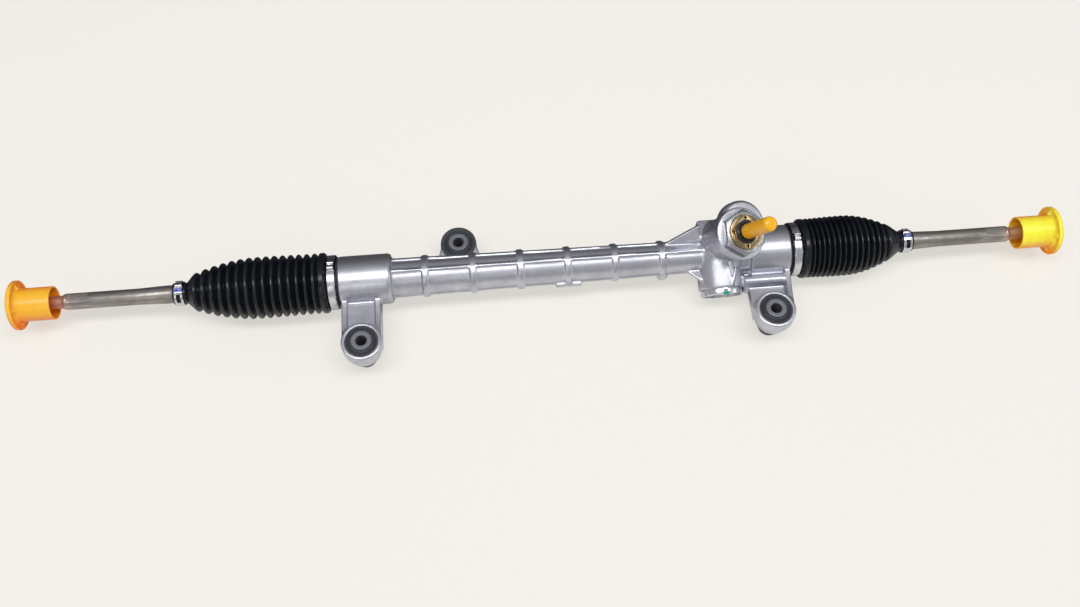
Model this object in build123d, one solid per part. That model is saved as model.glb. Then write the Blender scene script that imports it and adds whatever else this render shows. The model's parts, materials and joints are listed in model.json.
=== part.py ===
# Rack and pinion steering gear of a small car with an electrically assisted column, in millimetres.
# The rack runs along X and +Z is up. The gear stands on the lower faces of its three bushing sleeves,
# and the origin lies on that floor, under the middle of the whole part. The rack stands centred on
# X = 0, a little to the left of its middle position in the housing.
# Everything is first built about the rack's own axis, then moved to the origin as one.
import os
from math import acos, atan, ceil, cos, degrees, pi, radians, sin, sqrt, tan

from build123d import *

# Fits and clearances
fit = 0.05                  # radial clearance of a running or sliding fit
snug = 0.05                 # between pieces that are pressed, screwed or clamped together
tiny = 0.01                 # keeps a cutting tool just past the face that it opens

# Rack bar and its travel
bar_radius = 12.5
bar_half_length = 286.0
travel_each_way = 70.0
rest_offset = 22.8          # how far the housing's middle stands to the right of the rack's middle
end_chamfer = 1.2

# Gear mesh
tooth_module = 2.0          # normal module
pressure_angle = 20.0
pinion_teeth = 7
profile_shift = 0.6
pinion_addendum = 0.85      # in modules, kept short so that the tips stay blunt
tooth_clearance = 0.25      # in modules
backlash = 0.2
rack_tooth_lean = 6.0       # rack teeth lean this far from square, against the pinion's tilt
flat_height = 8.5           # tips of the rack teeth above the rack's axis
pinion_inset = 81.5         # crossing point, from the housing's right end face
pinion_tilt = 16.0          # the pinion leans this far along the rack
pinion_roll = 21.0          # and the whole gear section is rolled this far about the rack
pinion_face = 34.0          # width of the pinion's teeth
mesh_reach = 12.0           # how far along the rack the pinion works, each way from the crossing
flank_points = 7            # points on each flank of the pinion's teeth

# Pinion shaft, heights along its own axis from the crossing point
journal_radius = 6.0
journal_length = 13.0
shaft_radius = 8.5
spline_radius = 7.3
shoulder_height = 75.0
shaft_tip_height = 122.0
locating_groove = 3.0
bearing_low = 22.0
bearing_width = 11.0
bearing_radius = 17.5
ring_wall = 2.6
ball_count = 7
cage_wall = 1.6
ball_sink = 1.2             # how deep the balls lie in each ring's groove
needle_shell = 3.2          # wall of the plain lower bearing

# Tower that holds the pinion
tower_radius = 26.0
collar_radius = 30.5
collar_height = 9.0
tower_top = 60.0
screw_radius = 20.0
screw_top = 71.5
screw_pin_circle = 32.5
screw_pin_radius = 1.7
screw_pin_depth = 4.0
nut_across_flats = 47.0
nut_height = 10.0
seal_radius = 13.3
seal_height = 7.0
cap_wall = 1.3
cap_end = 4.0
lower_boss_radius = 15.0
lower_boss_wall = 4.0

# Rack guide, distances from the rack's axis
guide_radius = 14.0
guide_tip = 5.0
guide_back = 27.0
liner_wall = 1.0
bar_hug = 20.0              # half the length along which the guide's saddle is cut
plug_radius = 18.5
plug_length = 13.0
boss_radius = 26.5
boss_length = 42.0
guide_nut_radius = 24.5
guide_nut_height = 7.5
guide_nut_notches = 6
plug_proud = 2.0
plug_socket = 12.0
plug_socket_depth = 5.0
plug_pocket = 4.0           # seats for the two ends of the spring
guide_pocket = 6.0
guide_notch = 5.0
spring_coil_radius = 7.2
spring_wire = 1.3
spring_turns = 3.5

# Housing, stations measured both ways from its middle
housing_half_length = 263.7
neck_length = 20.0
neck_radius = 27.0
left_boss_length = 59.0
left_boss_radius = 29.5
right_boss_length = 49.0
right_boss_radius = 30.0
gear_inset = 103.5          # from the right end face to where the tube meets the gear section
gear_radius = 26.5
gear_cone = 11.0            # length over which the tube widens into the gear section
tube_left_radius = 23.0
tube_right_radius = 19.0
end_bore_radius = 23.0
tube_bore_radius = 15.0
cast_radius = 1.5           # rounding of the casting's free edges
rib_count = 6
rib_first = 40.9            # from the left boss to the middle of the first rib
rib_pitch = 55.3
rib_width = 6.0
rib_rise = 2.0
ridge_width = 3.2
ridge_rise = 1.8
ridge_angles = (-34.0, 8.0, 94.0)
pad_length = 30.0
pad_width = 7.0
pad_rise = 4.5
pad_height = -4.0           # middle of both pads, from the rack's axis
round_pad_radius = 6.0
web_wall = 4.5
back_web_length = 48.0      # rear gusset, along the tube from the gear section
back_web_end = -2.5         # its outer corner, along the rack from the tube's end
back_web_reach = 43.0       # and that corner's distance from the rack's axis
back_web_angle = -30.0
front_web_length = 21.5
front_web_end = 5.0
front_web_reach = 41.0
front_web_angle = 91.0
shoulder_length = 25.0      # block on the tower's left shoulder
shoulder_width = 25.0
shoulder_top = 26.0         # above the rack's axis
shoulder_back = 34.0        # behind it
shoulder_round = 3.5
mantle_radius = 28.5        # thicker wall round the back of the tower
mantle_back = 14.5          # its axis, behind the tower's
mantle_right = 16.5         # and to the right of it
mantle_foot_radius = 17.0
mantle_low = 24.0
mantle_top = 38.0
stud_radius = 4.2           # small cast stud on the barrel, below the collar
stud_station = 16.0         # its middle, to the right of the crossing
stud_angle = 46.0           # round the barrel from +Z towards the front
stud_length = 16.0
rib_wall = 2.6              # the two ribs that run down the guide's boss and meet at its end
rib_proud = 0.8
boss_ribs = ((4.0, 10.0), (13.5, 20.0))    # where each starts, right of and below the crossing
rib_meet = 7.5

# Mounting lugs: name, end of the housing that places them, distance inwards from that end's face,
# y, top face, the casting's height and its outer radius
lug_list = (
    ("lower_left", "left", 24.4, -82.0, 11.0, 29.0, 23.5),
    ("lower_right", "right", 28.5, -80.5, 11.0, 29.0, 23.5),
    ("upper", "left", 139.9, 46.5, -11.0, 22.0, 21.5),
)
lug_taper = 3.5             # how much narrower a lug's lower edge is
lug_taper_height = 14.0
arm_top = 3.0
arm_low_top = -3.0          # the lower right arm's upper face
arm_bottom = -17.0
root_left_y = -44.0         # the lower right arm is wider from the barrel to these two places
root_right_y = -26.0
root_extra_left = 6.0
root_extra_right = 3.5
upper_arm_drop = 3.0        # the upper arm's upper face, below the lug's
upper_arm_height = 14.0
upper_flare = 8.0           # extra width of the upper arm at the tube, on each side
upper_flare_y = 18.5        # and how far that width reaches
rubber_radius = 18.6
rubber_groove = 2.5
rubber_stub_radius = 14.0   # lower end of the bushing's rubber, below the casting
rubber_stub_end = -33.0
rubber_flange = 2.2         # the upper bushing's rubber also covers the casting's face
sleeve_radius = 11.75
bolt_radius = 6.15
sleeve_proud = 1.5
sleeve_bottom = -42.0
sleeve_chamfer = 0.8
sleeve_foot_chamfer = 3.0
upright_width = 6.5
upright_dip = 4.0           # the uprights sag this far between the barrel and the lug
upright_dip_place = 0.6     # share of the way to the lug
upright_lean = 6.5          # the lower right one's foot on the barrel, further out than the lug's end
band_radius = 7.0           # rounded band along the root of the lower right arm
band_y = -38.0
band_z = 0.0

# Rack bushing at the left end
bushing_length = 18.0
bushing_rib = 1.2
bushing_rib_width = 3.0

# Inner joints and tie rods, lengths from the rack's middle
washer_thickness = 2.0
socket_radius = 19.5
socket_length = 36.0
socket_stud_radius = 7.0
socket_stud_length = 16.0
stud_room = 2.0             # between a socket's stud and the bottom of its hole
ball_radius = 12.0
seat_wall = 2.0
ball_depth = 24.0           # from the socket's inner face to the ball's centre
swing_limit = 16.0
socket_flat = 36.0          # across the two wrench flats of the socket
socket_flat_length = 16.0
socket_floor = 4.0          # solid end behind the seat
mouth_place = 0.4           # rolled mouth, in ball radii from the ball's centre
swing_room = 4.0            # degrees by which the mouth opens wider than the swing
rod_neck_radius = 7.0
rod_neck_length = 14.0
rod_step = 4.0              # the rod narrows to its thread over this length
seat_cone_inside = 18.0     # the rod's tapers on the two sides of the boot's seat
seat_cone_outside = 30.0
rod_radius = 9.4
boot_seat_radius = 10.5
boot_seat_start = 412.0
boot_seat_end = 442.0
thread_radius = 7.0
rod_flat_start = 528.0
rod_flat_length = 24.0
rod_flat_width = 15.5
rod_tip = 609.0

# Boots and clamps. The housing's end is measured from its face, the rod's end from the rack's middle
boot_wall = 1.5
boot_lip = 1.0              # from the face to the boot's edge
boot_collar_end = 12.0
boot_collar_wall = 3.0
boot_band_start = 15.0      # smooth band between the collar and the first fold
boot_band_end = 20.5
boot_band_radius = 35.3
boot_fold_start = 22.5
boot_fold_end = 410.5
boot_folds = 15
boot_fold_growth = 0.35     # the last fold is wider than the first by this share of it
boot_growth_shift = 0.15    # more on the right, where the boot is pushed together, and less on the left
boot_crest = 36.0
boot_first_crest = 22.5
boot_fold_depth = 6.0
boot_taper_folds = 7.0
boot_crest_share = 0.12     # flat half width of a fold's crest, in pitches
boot_tail_middle = 427.2
boot_tail_shift = 3.2       # both tails sit this far to the right on their rods
boot_tail_length = 15.0
large_clamp_place = 6.8     # its middle, from the face
large_clamp_width = 8.0
small_clamp_width = 9.0
clamp_wall = 1.0
clamp_ear = 5.0
clamp_ear_length = 8.0
large_ear_angle = -8.0      # ears, round the boot from +Z
small_ear_angle = -24.0

# Transit caps on the tie rods
cap_open_end = 567.5
cap_barrel_radius = 19.2
cap_barrel_wall = 2.4
cap_flange_radius = 28.7
cap_flange_start = 607.5
cap_flange_wall = 4.5
cap_dome = 5.5
grip_length = 30.0
grip_wall = 1.8

# Directions in the gear section
roll = radians(pinion_roll)
tilt = radians(pinion_tilt)
lean = radians(-rack_tooth_lean)
along = Vector(1, 0, 0)
to_pinion = Vector(0, cos(roll), sin(roll))
across = Vector(0, -sin(roll), cos(roll))
pinion_axis = across * cos(tilt) + along * sin(tilt)
tooth_step = along * cos(lean) - across * sin(lean)

# Gear sizes that follow
helix = tilt - lean
transverse_angle = atan(tan(radians(pressure_angle)) / cos(helix))
pitch_radius = pinion_teeth * tooth_module / cos(helix) / 2
base_radius = pitch_radius * cos(transverse_angle)
tip_radius = pitch_radius + tooth_module * (pinion_addendum + profile_shift)
root_radius = pitch_radius - tooth_module * (1 + tooth_clearance - profile_shift)
reference_height = flat_height - tooth_module
centre_distance = reference_height + pitch_radius + profile_shift * tooth_module

# Stations on the rack's axis
left_face = rest_offset - housing_half_length
right_face = rest_offset + housing_half_length
crossing = Vector(right_face - pinion_inset, 0, 0)
pinion_centre = crossing + to_pinion * centre_distance
bearing_top = bearing_low + bearing_width
bearing_middle = bearing_low + bearing_width / 2
race_radius = (bearing_radius + shaft_radius) / 2
race_ball = (bearing_radius - shaft_radius) / 2 - ring_wall + ball_sink
pinion_plane = Plane(origin=pinion_centre, x_dir=-to_pinion, z_dir=pinion_axis)
guide_plane = Plane(origin=crossing, x_dir=along, z_dir=-to_pinion)
joint_start = bar_half_length + washer_thickness
stop_half = joint_start - travel_each_way
ball_centre = joint_start + ball_depth
tube_left = left_face + left_boss_length
tube_right = right_face - gear_inset
right_boss_start = right_face - right_boss_length

parts = {}


def about_x(points):
    """Solid turned about the rack's axis from corners given as (x, radius)."""
    return revolve(make_face(Polyline(*points, close=True)), Axis.X)


def about_z(points):
    """Solid turned about a local Z axis from corners given as (radius, height)."""
    return revolve(make_face(Plane.XZ * Polyline(*points, close=True)), Axis.Z)


def tube_about_z(outer, inner, low, high):
    """Plain ring about a local Z axis."""
    return about_z([(inner, low), (outer, low), (outer, high), (inner, high)])


def rod_about_z(radius, low, high):
    """Plain cylinder about a local Z axis."""
    return about_z([(0, low), (radius, low), (radius, high), (0, high)])


def rod_about_x(radius, start, end):
    """Plain cylinder about the rack's axis."""
    return about_x([(start, 0), (start, radius), (end, radius), (end, 0)])


def both_sides(name, shape_of_side):
    """Builds a piece for the right side, and its opposite number for the left side."""
    parts["right_" + name] = shape_of_side(rest_offset)
    parts["left_" + name] = mirror(shape_of_side(-rest_offset), Plane.YZ)


# Rack bar -------------------------------------------------------------------------------------

def tooth_comb():
    """Everything above the rack's teeth: the spaces between them and the flat over their tips."""
    step = pi * tooth_module
    first = -ceil((travel_each_way + rest_offset + mesh_reach) / step - 0.5)
    last = ceil((travel_each_way - rest_offset + mesh_reach) / step - 0.5)
    slope = tan(radians(pressure_angle))
    root = reference_height - tooth_module * (1 + tooth_clearance)
    half_root = step / 4 - (reference_height - root) * slope
    half_tip = step / 4 + tooth_module * slope
    above = bar_radius + 1
    points = [((first - 0.5) * step, above), ((first - 0.5) * step, flat_height)]
    for k in range(first, last + 1):
        points += [(k * step - half_tip, flat_height), (k * step - half_root, root)]
        points += [(k * step + half_root, root), (k * step + half_tip, flat_height)]
    points += [((last + 0.5) * step, flat_height), ((last + 0.5) * step, above)]
    plane = Plane(origin=crossing, x_dir=tooth_step, z_dir=tooth_step.cross(to_pinion))
    face = plane * make_face(Polyline(*points, close=True))
    return extrude(face, 2 * bar_radius, both=True)


def rack_bar():
    half, radius = bar_half_length, bar_radius
    profile = [(-half, 0), (-half, radius - end_chamfer), (-half + end_chamfer, radius)]
    profile += [(half - end_chamfer, radius), (half, radius - end_chamfer), (half, 0)]
    bar = about_x(profile) - tooth_comb()
    for side in (-1, 1):
        end = side * bar_half_length
        deep = end - side * (socket_stud_length + stud_room)
        bar -= rod_about_x(socket_stud_radius + snug, end, deep)
    return bar


# Pinion and its bearings ----------------------------------------------------------------------

def involute_point(radius, half_angle, side):
    """Point of a tooth flank, where half_angle is the tooth's half angle on the base circle."""
    unrolled = acos(min(1, base_radius / radius))
    angle = side * (half_angle - (tan(unrolled) - unrolled))
    return (radius * cos(angle), radius * sin(angle))


def pinion_outline():
    """The pinion's section across its axis, with one tooth centred on local X."""
    thickness = pi * tooth_module / cos(helix) / 2
    thickness += 2 * profile_shift * tooth_module * tan(transverse_angle) - backlash
    half_base = thickness / pitch_radius / 2 + tan(transverse_angle) - transverse_angle
    last = flank_points - 1
    radii = [base_radius + (tip_radius - base_radius) * i / last for i in range(flank_points)]
    edges = []
    for tooth in range(pinion_teeth):
        turn = Rot(0, 0, tooth * 360 / pinion_teeth)
        low = [involute_point(r, half_base, -1) for r in radii]
        high = [involute_point(r, half_base, 1) for r in reversed(radii)]
        root_low = (root_radius * cos(half_base), -root_radius * sin(half_base))
        root_high = (root_radius * cos(half_base), root_radius * sin(half_base))
        next_angle = 2 * pi / pinion_teeth - half_base
        middle = pi / pinion_teeth
        next_root = (root_radius * cos(next_angle), root_radius * sin(next_angle))
        edges += [
            turn * Line(root_low, low[0]),
            turn * Spline(*low),
            turn * ThreePointArc(low[-1], (tip_radius, 0), high[0]),
            turn * Spline(*high),
            turn * Line(high[-1], root_high),
            turn * ThreePointArc(
                root_high, (root_radius * cos(middle), root_radius * sin(middle)), next_root),
        ]
    return make_face(edges)


def pinion_gear():
    """The helical teeth, twisted left-handed along the pinion's axis."""
    twist = degrees(pinion_face * tan(helix) / pitch_radius)
    outline = Pos(0, 0, -pinion_face / 2) * Rot(0, 0, twist / 2) * pinion_outline()
    return Solid.extrude_linear_with_rotation(
        outline.face(), (0, 0, -pinion_face / 2), (0, 0, pinion_face), -twist)


def pinion_shaft():
    half = pinion_face / 2
    profile = [(0, -half - journal_length), (journal_radius - 1, -half - journal_length)]
    profile += [(journal_radius, -half - journal_length + 1), (journal_radius, -half + tiny)]
    profile += [(root_radius - tiny, -half + tiny), (root_radius - tiny, half - tiny)]
    profile += [(shaft_radius + 2, half - tiny), (shaft_radius + 2, bearing_low)]
    profile += [(shaft_radius, bearing_low), (shaft_radius, shoulder_height)]
    profile += [(spline_radius, shoulder_height), (spline_radius, shaft_tip_height - 1)]
    profile += [(spline_radius - 1, shaft_tip_height), (0, shaft_tip_height)]
    groove_low = bearing_top + 0.4
    ring = tube_about_z(shaft_radius + 1.6, shaft_radius - 0.8, groove_low, groove_low + 1.5)
    notch = tube_about_z(spline_radius + 1, spline_radius - 1.3, shaft_tip_height - 16,
                         shaft_tip_height - 16 + 2 * locating_groove)
    shaft = about_z(profile) + pinion_gear() + ring - notch
    return pinion_plane * shaft


def raceway():
    """Ring-shaped groove in which the balls run."""
    return Pos(0, 0, bearing_middle) * Torus(race_radius, race_ball + fit)


def bearing_outer_ring():
    ring = tube_about_z(bearing_radius - snug, bearing_radius - ring_wall, bearing_low, bearing_top)
    return pinion_plane * (ring - raceway())


def bearing_inner_ring():
    ring = tube_about_z(shaft_radius + ring_wall, shaft_radius + snug, bearing_low + snug,
                        bearing_top)
    return pinion_plane * (ring - raceway())


def bearing_balls():
    one = Pos(race_radius, 0, bearing_middle) * Sphere(race_ball)
    return pinion_plane * Compound(
        [Rot(0, 0, i * 360 / ball_count) * one for i in range(ball_count)])


def bearing_cage():
    half = bearing_width / 2 - 1.5
    cage = tube_about_z(race_radius + cage_wall / 2, race_radius - cage_wall / 2,
                        bearing_middle - half, bearing_middle + half)
    pocket = Pos(race_radius, 0, bearing_middle) * Rot(0, 90, 0) * Cylinder(
        race_ball + fit, 4 * cage_wall)
    cage -= [Rot(0, 0, i * 360 / ball_count) * pocket for i in range(ball_count)]
    return pinion_plane * cage


def lower_bearing():
    low = -pinion_face / 2 - journal_length
    outer = journal_radius + needle_shell
    return pinion_plane * tube_about_z(outer, journal_radius + fit, low, -pinion_face / 2 - 0.5)


def adjusting_screw():
    """Screw that bears on the bearing's outer ring, with four holes for a pin wrench."""
    low = bearing_top + snug
    body = tube_about_z(screw_radius, shaft_radius + 3, low, screw_top)
    body -= rod_about_z(bearing_radius - 2.0, low - 1, screw_top - seal_height - 4)
    body -= rod_about_z(seal_radius + snug, screw_top - seal_height, screw_top + 1)
    for i in range(4):
        pin = rod_about_z(screw_pin_radius, screw_top - screw_pin_depth, screw_top + 1)
        body -= Rot(0, 0, 90 * i) * Pos(screw_pin_circle / 2, 0, 0) * pin
    return pinion_plane * body


def pinion_seal():
    low, high = screw_top - seal_height + snug, screw_top - 0.6
    shaft = shaft_radius + fit
    points = [(seal_radius, low), (seal_radius, high), (seal_radius - 1.5, high)]
    points += [(seal_radius - 2.2, high - 1.5), (shaft + 1.4, high - 1.2), (shaft, high)]
    points += [(shaft, high - 3), (shaft + 1, low)]
    return pinion_plane * about_z(points)


def hexagon_nut(across_flats, low, high, bore):
    """Hexagon nut with its upper corners turned off."""
    corner = across_flats / sqrt(3)
    blank = Pos(0, 0, low) * extrude(RegularPolygon(corner, 6), high - low)
    turned = about_z([(0, low), (corner, low), (corner, high - 2.4),
                      (across_flats / 2 - 0.6, high), (0, high)])
    return (blank & turned) - rod_about_z(bore, low - 1, high + 1)


def pinion_lock_nut():
    nut = hexagon_nut(nut_across_flats, tower_top, tower_top + nut_height, screw_radius + snug)
    return pinion_plane * nut


def shaft_cap():
    """Vinyl cap over the input shaft's serrations, with a domed end."""
    outer, inner = spline_radius + snug + cap_wall, spline_radius + snug
    top = shaft_tip_height + snug
    dome = top + cap_end
    points = [(inner, shoulder_height + snug), (outer, shoulder_height + snug)]
    points += [(outer, dome - 2.6), (outer - 0.8, dome - 1), (outer - 2.6, dome), (0, dome)]
    points += [(0, top), (inner, top)]
    return pinion_plane * about_z(points)


# Rack guide -----------------------------------------------------------------------------------

def rack_guide():
    body = rod_about_z(guide_radius, guide_tip, guide_back)
    body -= rod_about_z(spring_coil_radius + spring_wire + 0.4, guide_back - guide_pocket,
                        guide_back + 1)
    saddle = rod_about_x(bar_radius + fit + liner_wall, crossing.X - bar_hug, crossing.X + bar_hug)
    return guide_plane * body - saddle


def guide_liner():
    start, end = crossing.X - bar_hug, crossing.X + bar_hug
    sleeve = about_x([(start, bar_radius + fit), (start, bar_radius + fit + liner_wall),
                      (end, bar_radius + fit + liner_wall), (end, bar_radius + fit)])
    inside = guide_plane * rod_about_z(guide_radius - 1.5, guide_tip + 1, guide_back)
    return sleeve & inside


def guide_spring():
    low, high = guide_back - guide_pocket, boss_length - plug_length + plug_pocket
    height = high - low - 2 * spring_wire
    path = Helix(height / spring_turns, height, spring_coil_radius, (0, 0, low + spring_wire))
    section = Plane(origin=path @ 0, z_dir=path % 0) * Circle(spring_wire)
    return guide_plane * sweep(section, path, is_frenet=True)


def guide_plug():
    low, high = boss_length - plug_length, boss_length + guide_nut_height - plug_proud
    body = rod_about_z(plug_radius, low, high)
    body -= rod_about_z(spring_coil_radius + spring_wire + 0.4, low - 1, low + plug_pocket)
    socket = extrude(Rectangle(plug_socket, plug_socket), plug_socket_depth + 1)
    body -= Pos(0, 0, high - plug_socket_depth) * socket
    return guide_plane * body


def guide_lock_nut():
    low, high = boss_length, boss_length + guide_nut_height
    nut = about_z([(plug_radius + snug, low), (guide_nut_radius, low),
                   (guide_nut_radius, high - 1.2), (guide_nut_radius - 1.2, high),
                   (plug_radius + snug, high)])
    for i in range(guide_nut_notches):
        slot = Pos(guide_nut_radius, 0, high) * Box(guide_notch, guide_notch, 2 * guide_nut_height - 4)
        nut -= Rot(0, 0, (i + 0.5) * 360 / guide_nut_notches) * slot
    return guide_plane * nut


# Housing --------------------------------------------------------------------------------------

def tube_radius_at(x):
    share = (x - tube_left) / (tube_right - tube_left)
    return tube_left_radius + (tube_right_radius - tube_left_radius) * share


def housing_barrel():
    """The long cast barrel, from the left neck through the tube to the right neck."""
    soft = cast_radius
    points = [(left_face - neck_length, 0), (left_face - neck_length, neck_radius - 1)]
    points += [(left_face - neck_length + 1, neck_radius), (left_face, neck_radius)]
    points += [(left_face, left_boss_radius - soft), (left_face + soft, left_boss_radius)]
    points += [(tube_left - soft, left_boss_radius), (tube_left + soft, left_boss_radius - soft)]
    points += [(tube_left + 2 * soft, tube_left_radius), (tube_right, tube_right_radius)]
    points += [(tube_right + gear_cone, gear_radius)]
    points += [(right_boss_start, gear_radius), (right_boss_start + soft, right_boss_radius)]
    points += [(right_face - soft, right_boss_radius), (right_face, right_boss_radius - soft)]
    points += [(right_face, neck_radius), (right_face + neck_length - 1, neck_radius)]
    points += [(right_face + neck_length, neck_radius - 1), (right_face + neck_length, 0)]
    return about_x(points)


def tube_ribs():
    """Rings round the tube, each with sloping sides."""
    ribs = []
    for i in range(rib_count):
        x = tube_left + rib_first + i * rib_pitch
        base, crown = tube_radius_at(x), tube_radius_at(x) + rib_rise
        half = rib_width / 2
        ribs.append(about_x([(x - half - 1, base - 2), (x - half - 1, base), (x - half, crown),
                             (x + half, crown), (x + half + 1, base), (x + half + 1, base - 2)]))
    return ribs


def fin(points, wall, angle):
    """A plate in a plane through the rack's axis, from corners given as (x, distance from it).
    At angle 0 it stands up along +Z, and a positive angle leans it towards -Y."""
    plate = extrude(Plane.XZ * make_face(Polyline(*points, close=True)), wall / 2, both=True)
    return Rot(angle, 0, 0) * plate


def tube_ridges():
    start, end = tube_left + 1, tube_right + 1
    ridges = []
    for angle in ridge_angles:
        low_start, low_end = tube_radius_at(start) - 2, tube_radius_at(end) - 2
        ridges.append(fin([(start, low_start), (start, low_start + 2 + ridge_rise),
                           (end, low_end + 2 + ridge_rise), (end, low_end)], ridge_width, angle))
    return ridges


def tube_pads():
    """A flat cast pad and a round one on the front of the tube."""
    middle = tube_left + rib_first + 3 * rib_pitch
    reach = tube_radius_at(middle) + pad_rise
    flat = Pos(middle, -reach / 2, pad_height) * Box(pad_length, reach, pad_width)
    last = tube_left + rib_first + 5 * rib_pitch
    reach = tube_radius_at(last) + pad_rise
    round_pad = Plane(origin=(last, 0, pad_height), z_dir=(0, -1, 0)) * rod_about_z(
        round_pad_radius, 0, reach)
    return [flat, round_pad]


def gear_webs():
    """Gussets that tie the tube to the tower and to the guide's boss."""
    shapes = []
    for length, end, reach, angle in (
            (back_web_length, back_web_end, back_web_reach, back_web_angle),
            (front_web_length, front_web_end, front_web_reach, front_web_angle)):
        start, corner = tube_right - length, tube_right + end
        low = tube_radius_at(start) - 2
        shapes.append(fin([(start, low), (corner, low), (corner, reach)], web_wall, angle))
    return shapes


def tower_shoulder():
    """Block on the left of the tower, where the rear gusset ends."""
    block = Box(shoulder_length, shoulder_width, shoulder_top)
    block = fillet(block.edges().filter_by(Axis.Z), shoulder_round)
    block = fillet(block.edges().group_by(Axis.Z)[-1], shoulder_round / 2)
    return Pos(crossing.X - shoulder_length / 2, shoulder_back - shoulder_width / 2,
               shoulder_top / 2) * block


def tower_mantle():
    points = [(0, 0), (mantle_foot_radius, 0), (mantle_radius, mantle_low)]
    points += [(mantle_radius, mantle_top - 3)]
    points += [(mantle_radius - 3, mantle_top), (0, mantle_top)]
    return pinion_plane * Pos(-mantle_back, mantle_right, 0) * about_z(points)


def barrel_stud():
    """Stud that lies along the round of the barrel."""
    stud = about_z([(0, 0), (stud_radius - 1, 0), (stud_radius, 1), (stud_radius, stud_length),
                    (0, stud_length)])
    place = Pos(crossing.X + stud_station, 0, 0) * Rot(stud_angle, 0, 0)
    return place * Pos(0, -stud_length / 2, gear_radius) * Rot(-90, 0, 0) * stud


def boss_front_ribs():
    """Two ribs on top of the guide's boss, which run together at its outer end."""
    plane = Plane(origin=crossing, x_dir=along, z_dir=across)
    half = rib_wall / 2
    shapes = []
    for right, below in boss_ribs:
        outline = [(right - half, -below), (right + half, -below),
                   (rib_meet + half, 1 - boss_length), (rib_meet - half, 1 - boss_length)]
        plate = extrude(make_face(Polyline(*outline, close=True)), boss_radius + rib_proud)
        shapes.append(plane * plate)
    return shapes


def guide_boss():
    return guide_plane * about_z([(0, 0), (boss_radius + 1, 0), (boss_radius, boss_length - 1),
                                  (boss_radius - 1, boss_length), (0, boss_length)])


def pinion_tower():
    low = -pinion_face / 2 - journal_length - lower_boss_wall
    points = [(0, low), (lower_boss_radius - 2, low), (lower_boss_radius, low + 2)]
    points += [(lower_boss_radius + 2, -pinion_face / 4), (tower_radius, 0)]
    points += [(tower_radius, tower_top - collar_height - 3)]
    points += [(collar_radius, tower_top - collar_height), (collar_radius, tower_top - 1)]
    points += [(collar_radius - 1, tower_top), (0, tower_top)]
    return pinion_plane * about_z(points)


def lug_places():
    """Each lug's name, x, y, top face, lower face and radius."""
    for name, end, inset, y, top, height, radius in lug_list:
        x = left_face + inset if end == "left" else right_face - inset
        yield name, x, y, top, top - height, radius


def lug_ring(x, y, top, low, radius):
    """Round casting that holds a bushing, narrower towards its lower face."""
    ring = about_z([(0, low), (radius - lug_taper - 1, low), (radius - lug_taper, low + 1),
                    (radius, low + lug_taper_height), (radius, top - cast_radius),
                    (radius - cast_radius, top), (0, top)])
    return Pos(x, y, 0) * ring


def arm_plate(corners, low, high):
    face = make_face(Polyline(*corners, close=True))
    return Pos(0, 0, low) * extrude(face, high - low)


def lug_upright(x, y, top):
    """Rib that stands on an arm, from the barrel down to the lug."""
    edges = Polyline((0, top + cast_radius), (0, arm_low_top - 1), (y, arm_low_top - 1), (y, top - 1))
    sag = ThreePointArc((0, top + cast_radius), (y * upright_dip_place, top - upright_dip), (y, top - 1))
    plate = Plane.YZ * make_face(edges + sag)
    return Pos(x, 0, 0) * extrude(plate, upright_width / 2, both=True)


def left_arm(x, y, top, wide):
    """Arm with a pocket between two uprights."""
    corners = [(x - wide, 0), (x - wide, y), (x + wide, y), (x + wide, 0)]
    shapes = [arm_plate(corners, arm_bottom, arm_top)]
    for side in (-1, 1):
        shapes.append(lug_upright(x + side * (wide - upright_width / 2), y, top))
    return shapes


def right_arm(x, y, top, wide):
    """Arm with a wide root under a rounded band, and one upright on its outer side."""
    root_left, root_right = x - wide - root_extra_left, x + wide + root_extra_right
    corners = [(root_left, 0), (root_left, root_left_y),
               (x - wide, root_left_y - root_extra_left / 2),
               (x - wide, y), (x + wide, y), (root_right, root_right_y), (root_right, 0)]
    band = Pos(root_left, band_y, band_z) * Rot(0, 90, 0) * Cylinder(
        band_radius, root_right - root_left - 1, align=(Align.CENTER, Align.CENTER, Align.MIN))
    upright = lug_upright(wide - upright_width / 2, y, top)
    lean = degrees(atan(upright_lean / -y))
    turned = Pos(x, y, 0) * Rot(0, 0, -lean) * Pos(0, -y, 0) * upright
    return [arm_plate(corners, arm_bottom, arm_low_top), band, turned]


def upper_arm(x, y, top, wide):
    """Arm behind the tube, wider where it meets the tube."""
    flared = wide + upper_flare
    corners = [(x - flared, 0), (x - flared, upper_flare_y), (x - wide, y), (x + wide, y),
               (x + flared, upper_flare_y), (x + flared, 0)]
    high = top - upper_arm_drop
    return [arm_plate(corners, high - upper_arm_height, high)]


def mounting_lugs():
    arms = {"lower_left": left_arm, "lower_right": right_arm, "upper": upper_arm}
    shapes = []
    for name, x, y, top, low, radius in lug_places():
        shapes += arms[name](x, y, top, radius - 1)
        shapes.append(lug_ring(x, y, top, low, radius))
    return shapes


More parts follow.
